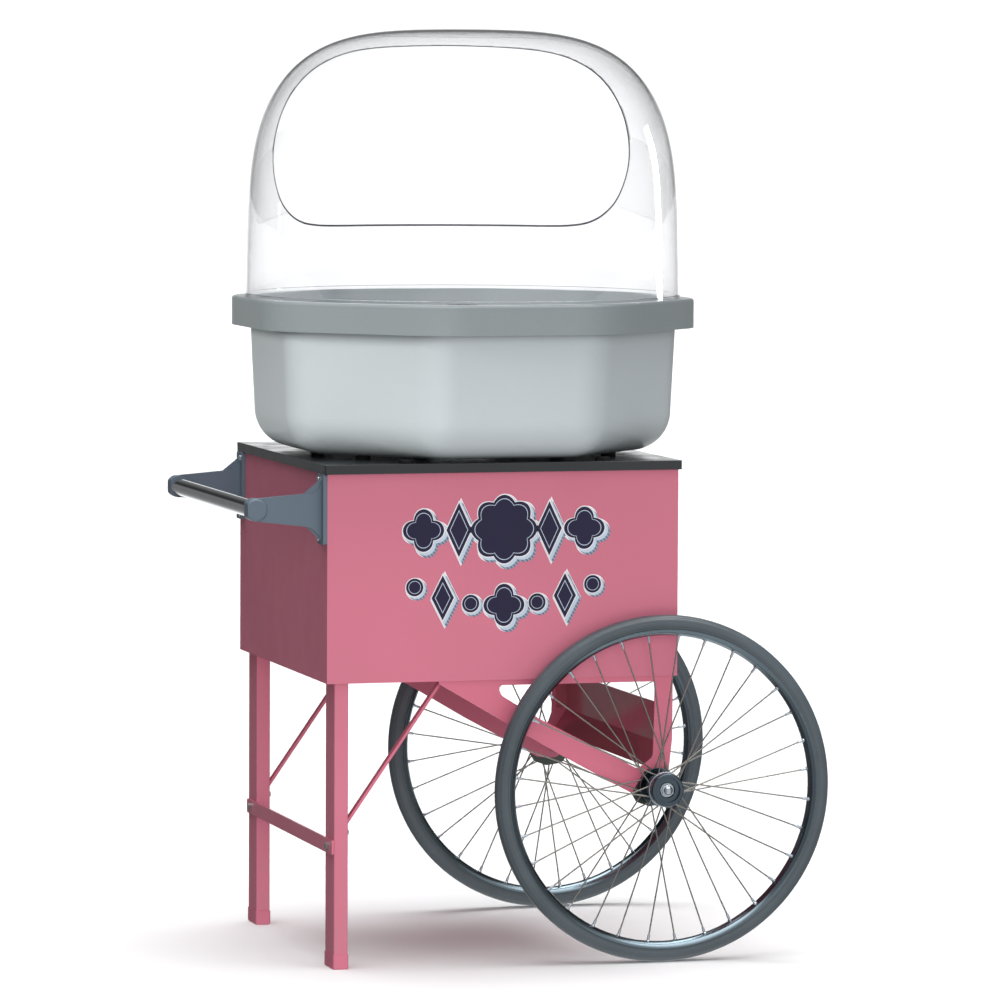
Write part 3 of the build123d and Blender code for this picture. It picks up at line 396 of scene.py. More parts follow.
NODE_MAT = {
    "cabinet_shell": "pink", "cabinet_floor": "pink", "rear_panel": "rear", "deck": "deck",
    "front_leg": "pink", "rear_leg": "pink", "foot_caps": "pink_cap", "leg_sockets": "steel",
    "leg_strap": "pink_bracket", "leg_braces": "pink_bracket", "frame_bolts": "steel",
    "front_wheel_bracket": "pink_bracket", "rear_wheel_bracket": "bracket_far", "axle_cross_plate": "pink_cross_shaded",
    "axle_bosses": "boss", "axle": "steel", "axle_nuts": "nut",
    "front_tyre": "tyre", "rear_tyre": "tyre", "front_rim": "rim", "rear_rim": "rim",
    "front_hub": "hub", "rear_hub": "hub", "front_hub_cap": "hub_cap", "rear_hub_cap": "hub_cap",
    "front_spokes": "spoke", "rear_spokes": "spoke",
    "front_handle_bracket": "casting", "rear_handle_bracket": "casting", "handle_tube": "tube_chrome", "handle_screws": "nut",
    "motor_mount_plate": "steel", "motor_rubber_mounts": "rubber", "motor_studs": "steel", "motor_housing": "motor",
    "motor_bearings": "steel", "motor_rotor": "iron", "spindle": "steel", "slip_rings": "brass", "brush_holder": "phenolic",
    "spindle_guard": "alu", "head_base": "alu", "heating_ribbon": "ribbon", "floss_screen": "alu", "head_cap": "head_cap",
    "head_nut": "steel", "bowl": "bowl", "bowl_pads": "rubber", "dome": "dome",
    "rear_door": "rear", "door_hinges": "steel", "door_latch": "chrome",
    "control_plate": "control", "switch_bezels": "black", "power_switch_rocker": "rocker_red", "heat_switch_rocker": "rocker_black",
    "heat_knob": "black", "voltmeter": "black", "power_inlet": "black", "front_ornament": "navy",
}
for name, obj in nodes.items():
    mat = MATS[NODE_MAT[name]].m
    if not obj.data.materials:
        obj.data.materials.append(mat)
    for i in range(len(obj.data.materials)):
        obj.data.materials[i] = mat


# ---------------------------------------------------------------- mesh helpers
def make(name, bm, mat, body, replaces=(), smooth=True, angle=40.0):
    bmesh.ops.remove_doubles(bm, verts=bm.verts, dist=1e-7)
    bmesh.ops.recalc_face_normals(bm, faces=bm.faces)
    me = bpy.data.meshes.new(name)
    bm.to_mesh(me)
    bm.free()
    o = bpy.data.objects.new(name, me)
    scene.collection.objects.link(o)
    me.materials.append(MATS[mat].m)
    if smooth:
        for f in me.polygons:
            f.use_smooth = True
        me.set_sharp_from_angle(angle=math.radians(angle))
    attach(o, body)
    if replaces:
        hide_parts(*replaces)
    return o


def frame_of(p, axis, ref=None):
    """Axes of a lathe or disc at p whose third axis is axis."""
    w = Vector(axis).normalized()
    r = Vector(ref) if ref else (Vector((0, 0, 1)) if abs(w.z) < 0.9 else Vector((1, 0, 0)))
    u = (r - w * r.dot(w)).normalized()
    v = w.cross(u)
    return Vector(p), u, v, w


def lathe(bm, fr, prof, seg, closed=False, phase=0.0):
    """prof: (radius, height) in mm about the frame's third axis; ends on the axis become single points."""
    p, u, v, w = fr
    rings = []
    for r, h in prof:
        if r < 1e-6:
            rings.append([bm.verts.new(p + w * (h * MM))])
            continue
        rings.append([bm.verts.new(p + (u * math.cos(t) + v * math.sin(t)) * (r * MM) + w * (h * MM))
                      for t in (2 * math.pi * (k + phase) / seg for k in range(seg))])
    n = len(rings)
    for i in range(n if closed else n - 1):
        a_, b_ = rings[i], rings[(i + 1) % n]
        for k in range(seg):
            k2 = (k + 1) % seg
            if len(a_) == 1 and len(b_) == 1:
                continue
            if len(a_) == 1:
                bm.faces.new((a_[0], b_[k], b_[k2]))
            elif len(b_) == 1:
                bm.faces.new((a_[k], b_[0], a_[k2]))
            else:
                bm.faces.new((a_[k], b_[k], b_[k2], a_[k2]))
    return rings


def prism(bm, pts, y0, y1):
    """pts: closed outline in X and Z, mm, between y0 and y1."""
    lo = [bm.verts.new(P(x, y0, z)) for x, z in pts]
    hi = [bm.verts.new(P(x, y1, z)) for x, z in pts]
    n = len(pts)
    bm.faces.new(lo)
    bm.faces.new(list(reversed(hi)))
    for k in range(n):
        bm.faces.new((lo[k], lo[(k + 1) % n], hi[(k + 1) % n], hi[k]))


def tube(bm, path, r, seg=12, closed=False):
    """A round wire along path, points in mm."""
    pts = [P(*q) for q in path]
    n = len(pts)
    tang = []
    for i in range(n):
        a_ = pts[(i - 1) % n] if closed or i > 0 else pts[0]
        b_ = pts[(i + 1) % n] if closed or i < n - 1 else pts[-1]
        tang.append((b_ - a_).normalized())
    t = tang[0]
    ref = Vector((0, 0, 1)) if abs(t.z) < 0.9 else Vector((1, 0, 0))
    u = (ref - t * ref.dot(t)).normalized()
    frames = []
    for t in tang:
        u = (u - t * u.dot(t)).normalized()
        frames.append((u.copy(), t.cross(u)))
    twist = 0.0
    if closed:
        u0, v0 = frames[0]
        un = (frames[-1][0] - tang[0] * frames[-1][0].dot(tang[0])).normalized()
        twist = math.atan2(un.dot(v0), un.dot(u0))
    rings = []
    for i, (p_, (u_, v_)) in enumerate(zip(pts, frames)):
        off_ = -twist * i / n
        rings.append([bm.verts.new(p_ + (u_ * math.cos(q + off_) + v_ * math.sin(q + off_)) * (r * MM)) for q in (2 * math.pi * k / seg for k in range(seg))])
    for i in range(n if closed else n - 1):
        a_, b_ = rings[i], rings[(i + 1) % n]
        for k in range(seg):
            bm.faces.new((a_[k], a_[(k + 1) % seg], b_[(k + 1) % seg], b_[k]))
    if not closed:
        bm.faces.new(list(reversed(rings[0])))
        bm.faces.new(rings[-1])


def offset_poly(pts, d, limit=2.2):
    """Outline moved outwards by d, with its sharp corners cut back."""
    n = len(pts)
    area = sum(pts[i][0] * pts[(i + 1) % n][1] - pts[(i + 1) % n][0] * pts[i][1] for i in range(n))
    s = 1.0 if area > 0 else -1.0
    out = []
    for i in range(n):
        p0, p1, p2 = Vector(pts[i - 1]), Vector(pts[i]), Vector(pts[(i + 1) % n])
        e0, e1 = (p1 - p0).normalized(), (p2 - p1).normalized()
        n0, n1 = Vector((e0.y, -e0.x)) * s, Vector((e1.y, -e1.x)) * s
        b = n0 + n1
        b = b.normalized() if b.length > 1e-6 else n0
        k = d / max(b.dot(n0), 0.2)
        turn = (e0.x * e1.y - e0.y * e1.x) * s
        if turn > 0 and k > limit * d > 0:
            t0 = Vector((-b.y, b.x)) * s
            half = math.sqrt(max(1.0 - b.dot(n0) ** 2, 0.0))
            w = (k - limit * d) * b.dot(n0) / max(half, 0.2)
            q = p1 + b * (limit * d)
            out.append((q - t0 * w)[:])
            out.append((q + t0 * w)[:])
        else:
            out.append((p1 + b * k)[:])
    return [(q[0], q[1]) for q in out]


# ---------------------------------------------------------------- wheels
SIDES = (("front", -1), ("rear", 1))
RC = 240.0


def tyre_profile():
    # section about the tube's middle: worn flat tread, shoulder line, moulded flank groove, bead groove
    prof = []
    for k in range(96):
        t = 2 * math.pi * k / 96
        deg = math.degrees(t)
        dd = min(deg, 360 - deg)
        rho = 14.0
        if dd < 40:
            rho = min(14.0, 13.55 / max(math.cos(t), 0.5))
        for centre, width, depth in ((47, 3.2, 0.55), (72, 2.6, 0.35), (104, 4.0, 0.8)):
            rho -= depth * math.exp(-((dd - centre) / width) ** 2)
        prof.append((RC + rho * math.cos(t), rho * math.sin(t)))
    return prof


for nm, s in SIDES:
    body = nm + "_wheel"
    c0 = P(AX, s * WY, AZ)
    fr = frame_of(c0, (0, s, 0))
    bm = bmesh.new()
    lathe(bm, fr, tyre_profile(), 220, closed=True)
    make(nm + "_tyre_moulded", bm, "tyre", body, (nm + "_tyre",), angle=60)

    # spoke nipples at the rim and headed spoke ends at the hub flanges
    bm = bmesh.new()
    bh = bmesh.new()
    rr = RC - 14.0 - 1.6
    for i in range(32):
        t = 2 * math.pi * (i + 0.5) / 32
        outer = i % 2
        lean = math.radians(34) * (1 if (i // 2) % 2 else -1)
        rh = 22.0 if outer else 24.0
        yh = s * WY + s * (13.0 if outer else -20.0)
        p = P(AX + rh * math.cos(t + lean), yh, AZ + rh * math.sin(t + lean))
        q = P(AX + rr * math.cos(t), s * WY + s * (3.5 if outer else -3.5), AZ + rr * math.sin(t))
        dirn = (p - q).normalized()
        lathe(bm, frame_of(q - dirn * 0.0012, dirn), [(0, 0), (3.1, 0), (3.1, 2.4), (2.1, 3.4), (2.0, 10.2), (1.7, 11.2), (1.12, 11.4), (0, 11.4)], 10)
        # wire bent over the flange and finished with a small domed head
        side = s if outer else -s
        lathe(bh, frame_of(P(AX + rh * math.cos(t + lean), s * WY + s * (14.45 if outer else -21.45), AZ + rh * math.sin(t + lean)), (0, side, 0)),
              [(0, -0.6), (2.5, -0.6), (2.5, 0.2), (2.2, 0.8), (1.3, 1.25), (0, 1.4)], 12)
    make(nm + "_spoke_nipples", bm, "nut", body, angle=35)
    make(nm + "_spoke_heads", bh, "nut", body, angle=50)

    # turned rings on the hub: dust seal inboard, bead where the cap is pressed on
    bm = bmesh.new()
    lathe(bm, frame_of(c0, (0, s, 0)), [(24.6, 14.6), (25.5, 14.7), (25.9, 15.5), (25.5, 16.3), (24.6, 16.5)], 72, closed=True)
    lathe(bm, frame_of(c0, (0, s, 0)), [(13.6, -23.9), (16.6, -23.9), (17.0, -23.4), (17.0, -22.0), (16.6, -21.6), (13.6, -21.6)], 60, closed=True)
    make(nm + "_hub_rings", bm, "nut", body, angle=50)

# ---------------------------------------------------------------- dome: edging along the serving opening
WIN_TURN = math.radians(9.1)
CROWN_Z, DOME_R, DOME_Z0, DOME_TOP, TAPER = 1040.0, 321.6, 960.3, 1357.0, 0.022


def dome_radius(z):
    """Mid-wall radius of the dome at height z."""
    side = DOME_R - 2.0 - TAPER * (z - DOME_Z0)
    if z <= CROWN_Z:
        return side
    q = min((z - CROWN_Z) / (DOME_TOP - CROWN_Z - 2.0), 1.0)
    return side * (1 - q ** 3.2) ** (1 / 3.37)


half = [(0, 1057), (60, 1057), (115, 1057), (162, 1057), (195, 1058.4), (220, 1063.4), (240, 1075.5), (257, 1097), (268, 1128),
        (272.5, 1162), (269.5, 1198), (259.5, 1234), (242, 1267), (217.5, 1294.5), (186, 1315), (151, 1328), (108, 1335.6), (55, 1339.6), (0, 1341)]
knots = half + [(-u_, z_) for u_, z_ in reversed(half[1:-1])]
path, flat = [], []
for i in range(len(knots)):
    q0, q1, q2, q3 = (knots[(i + d_) % len(knots)] for d_ in (-1, 0, 1, 2))
    for t in (k / 8.0 for k in range(8)):
        u_, z_ = (0.5 * (2 * b_ + (c_ - a_) * t + (2 * a_ - 5 * b_ + 4 * c_ - d_) * t * t + (3 * b_ - a_ - 3 * c_ + d_) * t ** 3)
                  for a_, b_, c_, d_ in zip(q0, q1, q2, q3))
        flat.append((u_, z_))
        r_ = dome_radius(z_)
        v_ = math.sqrt(max(r_ * r_ - u_ * u_, 0.0))
        # u runs sideways across the opening, v outwards through it
        dx_, dy_ = math.sin(WIN_TURN), math.cos(WIN_TURN)
        path.append((MX + v_ * dx_ - u_ * dy_, v_ * dy_ + u_ * dx_, z_))
N = len(path)
# even spacing along the outline
length = [0.0]
for i in range(N):
    a_, b_ = Vector(path[i]), Vector(path[(i + 1) % N])
    length.append(length[-1] + (b_ - a_).length)
even = []
M_ = 260
j = 0
for k in range(M_):
    target = length[-1] * k / M_
    while length[j + 1] < target:
        j += 1
    f = (target - length[j]) / max(length[j + 1] - length[j], 1e-9)
    even.append(tuple(Vector(path[j]).lerp(Vector(path[(j + 1) % N]), f)))
bm = bmesh.new()
tube(bm, even, 1.5, 12, closed=True)
make("dome_opening_edging", bm, "edging", "dome", angle=60)


def dome_wall(off):
    """Evenly spaced points up one face of the dome, off inwards from the outer face."""
    raw = [(DOME_R - TAPER * q, DOME_Z0 + q) for q in (2.0 * k for k in range(40))]
    for k in range(1601):
        t = 0.5 * math.pi * k / 1600
        z_ = CROWN_Z + (DOME_TOP - CROWN_Z) * math.sin(t) ** (2 / 3.2)
        if z_ > raw[-1][1] + 1.0 or k == 1600:
            raw.append(((DOME_R - TAPER * (z_ - DOME_Z0)) * max(math.cos(t), 0.0) ** (2 / 3.37), z_))
        elif k > 800:
            raw.append(((DOME_R - TAPER * (z_ - DOME_Z0)) * max(math.cos(t), 0.0) ** (2 / 3.37), z_))
    raw[-1] = (0.0, DOME_TOP)
    pts = []
    n_ = len(raw)
    for i in range(n_):
        a_, b_ = raw[max(i - 1, 0)], raw[min(i + 1, n_ - 1)]
        dr, dz = b_[0] - a_[0], b_[1] - a_[1]
        if i == n_ - 1:
            dr, dz = -1.0, 0.0
        m_ = math.hypot(dr, dz)
        pts.append((raw[i][0] - off * dz / m_, raw[i][1] + off * dr / m_))
    pts[0] = (DOME_R - off, DOME_Z0)
    pts[-1] = (0.0, DOME_TOP - off)
    run = [0.0]
    for i in range(n_ - 1):
        run.append(run[-1] + math.hypot(pts[i + 1][0] - pts[i][0], pts[i + 1][1] - pts[i][1]))
    count = 110
    out_, j = [], 0
    for k in range(count + 1):
        target = run[-1] * k / count
        while j < n_ - 2 and run[j + 1] < target:
            j += 1
        f = (target - run[j]) / max(run[j + 1] - run[j], 1e-9)
        out_.append((pts[j][0] + (pts[j + 1][0] - pts[j][0]) * f, pts[j][1] + (pts[j + 1][1] - pts[j][1]) * f))
    out_[-1] = pts[-1]
    return out_


outer_wall, inner_wall = dome_wall(0.0), dome_wall(4.0)
prof = [(DOME_R + 2.9, DOME_Z0), (DOME_R + 2.9, DOME_Z0 + 4.4), (DOME_R + 2.3, DOME_Z0 + 5.0), (DOME_R - TAPER * 5.0, DOME_Z0 + 5.0)]
prof += [q for q in outer_wall if q[1] > DOME_Z0 + 6.0] + list(reversed(inner_wall))
bm = bmesh.new()
lathe(bm, frame_of(P(MX, 0, 0), (0, 0, 1), (0, 1, 0)), prof, 264, closed=True)
bmesh.ops.recalc_face_normals(bm, faces=bm.faces)
me = bpy.data.meshes.new("dome_blank")
bm.to_mesh(me)
bm.free()
blank = bpy.data.objects.new("dome_blank", me)
scene.collection.objects.link(blank)
bm = bmesh.new()
ends = []
for v_ in (60.0, 420.0):
    ends.append([bm.verts.new(P(MX + v_ * math.sin(WIN_TURN) - u_ * math.cos(WIN_TURN), v_ * math.cos(WIN_TURN) + u_ * math.sin(WIN_TURN), z_)) for u_, z_ in flat])
bm.faces.new(ends[0])
bm.faces.new(list(reversed(ends[1])))
for k in range(len(flat)):
    k2 = (k + 1) % len(flat)
    bm.faces.new((ends[0][k], ends[0][k2], ends[1][k2], ends[1][k]))
bmesh.ops.recalc_face_normals(bm, faces=bm.faces)
me = bpy.data.meshes.new("dome_cutter")
bm.to_mesh(me)
bm.free()
cutter = bpy.data.objects.new("dome_cutter", me)
scene.collection.objects.link(cutter)
cut = blank.modifiers.new("opening", "BOOLEAN")
cut.operation = "DIFFERENCE"
cut.solver = "EXACT"
cut.object = cutter
bpy.context.view_layer.update()
done = bpy.data.meshes.new_from_object(blank.evaluated_get(bpy.context.evaluated_depsgraph_get()))
bm = bmesh.new()
bm.from_mesh(done)
for old in (blank, cutter):
    old_me = old.data
    bpy.data.objects.remove(old)
    bpy.data.meshes.remove(old_me)
bpy.data.meshes.remove(done)
shell = make("dome_shell", bm, "dome", "dome", ("dome",), angle=40)
shell.visible_shadow = False

# ---------------------------------------------------------------- front ornament: layered printed vinyl
def lobed(cx, cz, R, n, depth, m_=64):
    return [(cx + R * (1 - depth + depth * abs(math.cos(n * math.pi * k / m_))) * math.cos(2 * math.pi * k / m_),
             cz + R * (1 - depth + depth * abs(math.cos(n * math.pi * k / m_))) * math.sin(2 * math.pi * k / m_)) for k in range(m_)]


def diamond(cx, cz, a_, b_):
    return [(cx + a_, cz), (cx, cz + b_), (cx - a_, cz), (cx, cz - b_)]


def disc(cx, cz, r, n=56):
    return [(cx + r * math.cos(2 * math.pi * k / n), cz + r * math.sin(2 * math.pi * k / n)) for k in range(n)]


# each entry: outline grown by d, size of its layers
shapes = []
for cx_, cz_, r_, n_, dp_, mm_ in ((0, 634, 50, 8, 0.16, 96), (-121, 634, 31, 4, 0.34, 64), (121, 634, 31, 4, 0.34, 64), (0, 524, 31, 4, 0.34, 64)):
    shapes.append((lambda d, q=(cx_, cz_, r_, n_, dp_, mm_): lobed(q[0], q[1], q[2] + d, q[3], q[4], q[5]), 1.0))
for cx_, cz_, a_, b_ in ((-68, 634, 19, 40), (68, 634, 19, 40), (-92, 536, 17, 33), (92, 536, 17, 33)):
    shapes.append((lambda d, q=(cx_, cz_, a_, b_): offset_poly(diamond(*q), d) if d > 0 else offset_poly(diamond(*q), d, 99.0), 0.9))
for cx_, cz_ in ((-50, 527), (50, 527), (-134, 552), (134, 552)):
    shapes.append((lambda d, q=(cx_, cz_, 13.0): disc(q[0], q[1], q[2] + d), 0.7))
layers = {"white": bmesh.new(), "hatch": bmesh.new(), "ice": bmesh.new(), "rim_line": bmesh.new(), "navy": bmesh.new(), "inset": bmesh.new()}


def moved(pts, dx, dz):
    return [(q[0] + dx, q[1] + dz) for q in pts]


for grown, k in shapes:
    prism(layers["white"], moved(grown(4.6 * k), 3.4 * k, -3.4 * k), -HY - 0.10, -HY + 0.02)
    prism(layers["hatch"], moved(grown(2.4 * k), 6.2 * k, -6.2 * k), -HY - 0.16, -HY - 0.09)
    prism(layers["ice"], moved(grown(2.2 * k), 3.2 * k, -3.2 * k), -HY - 0.22, -HY - 0.15)
    prism(layers["rim_line"], grown(1.5 * k), -HY - 0.28, -HY - 0.21)
    prism(layers["navy"], grown(-0.2), -HY - 0.34, -HY - 0.27)
    # a fine pale line set in from the edge of each face
    outer, inner = grown(-5.2 * k), grown(-6.3 * k)
    if len(outer) == len(inner):
        bmi = layers["inset"]
        vs = [[bmi.verts.new(P(q[0], yy, q[1])) for q in src] for yy, src in ((-HY - 0.38, outer), (-HY - 0.33, outer), (-HY - 0.38, inner), (-HY - 0.33, inner))]
        n_ = len(outer)
        for i in range(n_):
            j = (i + 1) % n_
            bmi.faces.new((vs[0][i], vs[0][j], vs[2][j], vs[2][i]))
            bmi.faces.new((vs[1][i], vs[3][i], vs[3][j], vs[1][j]))
            bmi.faces.new((vs[0][i], vs[1][i], vs[1][j], vs[0][j]))
            bmi.faces.new((vs[2][i], vs[2][j], vs[3][j], vs[3][i]))
make("ornament_outline", layers["white"], "white", "cart", smooth=False)
make("ornament_hatching", layers["hatch"], "hatch", "cart", smooth=False)
make("ornament_shadow", layers["ice"], "ice", "cart", smooth=False)
make("ornament_line", layers["rim_line"], "white", "cart", smooth=False)
make("ornament_faces", layers["navy"], "navy", "cart", ("front_ornament",), smooth=False)
make("ornament_inset", layers["inset"], "ice", "cart", smooth=False)

# ---------------------------------------------------------------- voltmeter: case, dial, scale, needle, lens
VX, CZ = 203.0, 646.0
fr = frame_of(P(VX, HY, CZ), (0, 1, 0))
bm = bmesh.new()
lathe(bm, fr, [(0, -24), (18.6, -24), (19.8, -22.8), (19.8, 2.0), (23.4, 2.0), (24.0, 2.6), (24.0, 5.0), (23.2, 6.2), (21.6, 6.8), (20.6, 6.6), (20.5, 3.2), (0, 3.2)], 96)
make("voltmeter_case", bm, "black", "cart", ("voltmeter",), angle=35)
bm = bmesh.new()
lathe(bm, fr, [(0, 3.15), (20.2, 3.15), (20.2, 3.5), (0, 3.5)], 72)
make("voltmeter_dial", bm, "dial", "cart")
bm = bmesh.new()
for k in range(31):
    ang = math.radians(225 - 9.0 * k)
    long_ = k % 5 == 0
    r0, r1, hw = (13.2, 17.6, 0.42) if long_ else (15.2, 17.6, 0.2)
    # seen from +Y the scale runs clockwise
    ux, uz = -math.cos(ang), math.sin(ang)
    vx, vz = -uz, ux
    prism(bm, [(VX + ux * r0 + vx * hw, CZ + uz * r0 + vz * hw), (VX + ux * r1 + vx * hw, CZ + uz * r1 + vz * hw),
               (VX + ux * r1 - vx * hw, CZ + uz * r1 - vz * hw), (VX + ux * r0 - vx * hw, CZ + uz * r0 - vz * hw)], HY + 3.45, HY + 3.62)
make("voltmeter_scale", bm, "mark", "cart", smooth=False)
bm = bmesh.new()
ang = math.radians(52)
ux, uz = -math.cos(ang), math.sin(ang)
vx, vz = -uz, ux
prism(bm, [(VX - ux * 4 + vx * 0.8, CZ - uz * 4 + vz * 0.8), (VX + ux * 15.5, CZ + uz * 15.5), (VX - ux * 4 - vx * 0.8, CZ - uz * 4 - vz * 0.8)], HY + 3.9, HY + 4.2)
lathe(bm, fr, [(0, 3.4), (2.2, 3.4), (2.2, 4.3), (1.6, 4.7), (0, 4.8)], 24)
make("voltmeter_needle", bm, "needle", "cart", angle=35)
bm = bmesh.new()
lathe(bm, fr, [(0, 5.0), (20.4, 5.0), (20.4, 5.9), (14, 6.35), (7, 6.55), (0, 6.6)], 72)
make("voltmeter_lens", bm, "lens", "cart", angle=35)


def text(name, body_text, x, z, size, mat, y=HY + 2.0, body="cart", thick=0.12, rot=0.0):
    """Lettering on a plane facing +Y, read from behind the cart; it becomes a mesh."""
    cu = bpy.data.curves.new(name + "_curve", "FONT")
    cu.body = body_text
    cu.size = size * MM
    cu.align_x = "CENTER"
    cu.align_y = "CENTER"
    cu.extrude = thick * MM
    cu.resolution_u = 6
    o = bpy.data.objects.new(name + "_src", cu)
    scene.collection.objects.link(o)
    bpy.context.view_layer.update()
    me = bpy.data.meshes.new_from_object(o.evaluated_get(bpy.context.evaluated_depsgraph_get()))
    bpy.data.objects.remove(o)
    bpy.data.curves.remove(cu)
    tr = Matrix.Translation(P(x, y + thick * 0.6, z)) @ Matrix.Rotation(math.pi, 4, "Z") @ Matrix.Rotation(math.pi / 2, 4, "X") @ Matrix.Rotation(rot, 4, "Z")
    me.transform(tr)
    me.name = name
    me.materials.clear()
    me.materials.append(MATS[mat].m)
    ob = bpy.data.objects.new(name, me)
    scene.collection.objects.link(ob)
    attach(ob, body)
    return ob


# numbers and ticks round the heat knob, ON and OFF by the rockers
KX = 150.0
for k in range(6):
    ang = math.radians(225 - 54.0 * k)
    text("heat_number_%d" % k, str(k * 2), KX - 26.5 * math.cos(ang), CZ + 26.5 * math.sin(ang), 7.0, "mark")
bm = bmesh.new()
for k in range(11):
    ang = math.radians(225 - 27.0 * k)
    ux, uz = -math.cos(ang), math.sin(ang)
    vx, vz = -uz, ux
    prism(bm, [(KX + ux * 18.6 + vx * 0.4, CZ + uz * 18.6 + vz * 0.4), (KX + ux * 21.6 + vx * 0.4, CZ + uz * 21.6 + vz * 0.4),
               (KX + ux * 21.6 - vx * 0.4, CZ + uz * 21.6 - vz * 0.4), (KX + ux * 18.6 - vx * 0.4, CZ + uz * 18.6 - vz * 0.4)], HY + 1.96, HY + 2.2)
make("heat_ticks", bm, "mark", "cart", smooth=False)
for x_, tag in ((58.0, "power"), (98.0, "heat")):
    text(tag + "_on_mark", "ON", x_, CZ + 25.5, 7.5, "mark")
    text(tag + "_off_mark", "OFF", x_, CZ - 25.5, 7.5, "mark")
text("volt_low_number", "0", VX + 9.5, CZ - 9.5, 3.6, "mark", y=HY + 3.5)
text("volt_high_number", "150", VX - 8.6, CZ - 9.5, 3.6, "mark", y=HY + 3.5)
text("volt_unit_mark", "V", VX, CZ - 8.0, 4.6, "mark", y=HY + 3.5)

# screws that hold the control plate and the inlet: domed heads with a cross recess cut in the mesh
def cross_screw(bm, p, axis, r, h):
    fr_ = frame_of(p, axis)
    p_, u, v, w = fr_
    a_ = r * 0.62
    b_ = r * 0.2
    cross = [(b_, a_), (b_, b_), (a_, b_), (a_, -b_), (b_, -b_), (b_, -a_), (-b_, -a_), (-b_, -b_), (-a_, -b_), (-a_, b_), (-b_, b_), (-b_, a_)]
    top = [bm.verts.new(p_ + (u * x_ + v * y_) * MM + w * (h * MM)) for x_, y_ in cross]
    bot = [bm.verts.new(p_ + (u * x_ * 0.72 + v * y_ * 0.72) * MM + w * (h * 0.35 * MM)) for x_, y_ in cross]
    for i in range(12):
        j_ = (i + 1) % 12
        bm.faces.new((top[i], top[j_], bot[j_], bot[i]))
    bm.faces.new(bot)
    # ring of twelve points round the recess, then the domed shoulder
    def ring_at(rad, hh):
        out_ = []
        for x_, y_ in cross:
            t_ = math.atan2(y_, x_)
            out_.append(bm.verts.new(p_ + (u * math.cos(t_) + v * math.sin(t_)) * (rad * MM) + w * (hh * MM)))
        return out_
    prev = top
    for rad, hh in ((r * 0.72, h * 0.97), (r * 0.9, h * 0.78), (r, h * 0.4), (r, -0.3)):
        cur = ring_at(rad, hh)
        for i in range(12):
            j_ = (i + 1) % 12
            bm.faces.new((prev[i], cur[i], cur[j_], prev[j_]))
        prev = cur
    bm.faces.new(list(reversed(prev)))


bm = bmesh.new()
for x_ in (35.0, 229.0):
    for z_ in (599.0, 693.0):
        cross_screw(bm, P(x_, HY + 2.0, z_), (0, 1, 0), 3.2, 1.9)
for x_ in (206.0 - 20.0, 206.0 + 20.0):
    cross_screw(bm, P(x_, HY + 2.5, 560.0), (0, 1, 0), 2.6, 1.5)
make("control_screws", bm, "nut", "cart", angle=30)

# ---------------------------------------------------------------- spinner: woven gauze behind the screen's slots
bm = bmesh.new()
for k in range(96):
    t = 2 * math.pi * k / 96
    tube(bm, [(MX + 60.2 * math.cos(t), 60.2 * math.sin(t), 884.0), (MX + 60.2 * math.cos(t), 60.2 * math.sin(t), 932.5)], 0.28, 5)
for k in range(15):
    z_ = 886.5 + 3.1 * k
    tube(bm, [(MX + (60.2 + 0.35 * (1 if i % 2 else -1)) * math.cos(2 * math.pi * i / 96), (60.2 + 0.35 * (1 if i % 2 else -1)) * math.sin(2 * math.pi * i / 96), z_) for i in range(96)], 0.28, 5, closed=True)
make("floss_gauze", bm, "alu", "spinner", angle=60)

# ---------------------------------------------------------------- floor and light
bm = bmesh.new()
bmesh.ops.create_grid(bm, x_segments=24, y_segments=24, size=150.0)
me = bpy.data.meshes.new("studio_floor")
bm.to_mesh(me)
bm.free()
floor = bpy.data.objects.new("studio_floor", me)
scene.collection.objects.link(floor)
a = Mat("pale_floor", rough=0.75, spec=0.15)
a.colour(a.mix(a.noise(0.8, 3.0), (0.89, 0.89, 0.89, 1.0), (0.91, 0.91, 0.91, 1.0)))
a.bump(((a.noise(300.0, 2.0), 0.0002, 0.05),))
me.materials.append(a.m)
floor.visible_diffuse = False
floor.visible_glossy = False

world = bpy.data.worlds.new("studio")
scene.world = world
world.use_nodes = True
wt = world.node_tree
wt.nodes.clear()
wo = wt.nodes.new("ShaderNodeOutputWorld")
bg = wt.nodes.new("ShaderNodeBackground")
wt.links.new(bg.outputs[0], wo.inputs[0])
tc = wt.nodes.new("ShaderNodeTexCoord")


def w_dot(vec):
    nd = wt.nodes.new("ShaderNodeVectorMath")
    nd.operation = "DOT_PRODUCT"
    wt.links.new(tc.outputs["Generated"], nd.inputs[0])
    nd.inputs[1].default_value = vec
    return nd.outputs["Value"]


def w_span(v, a_, b_, c_, d_):
    nd = wt.nodes.new("ShaderNodeMapRange")
    nd.interpolation_type = "SMOOTHSTEP"
    for k, q in enumerate((a_, b_, c_, d_)):
        nd.inputs[k + 1].default_value = q
    wt.links.new(v, nd.inputs[0])
    return nd.outputs[0]


def w_mul(a_, b_):
    nd = wt.nodes.new("ShaderNodeMath")
    nd.operation = "MULTIPLY"
    wt.links.new(a_, nd.inputs[0])
    wt.links.new(b_, nd.inputs[1])
    return nd.outputs[0]


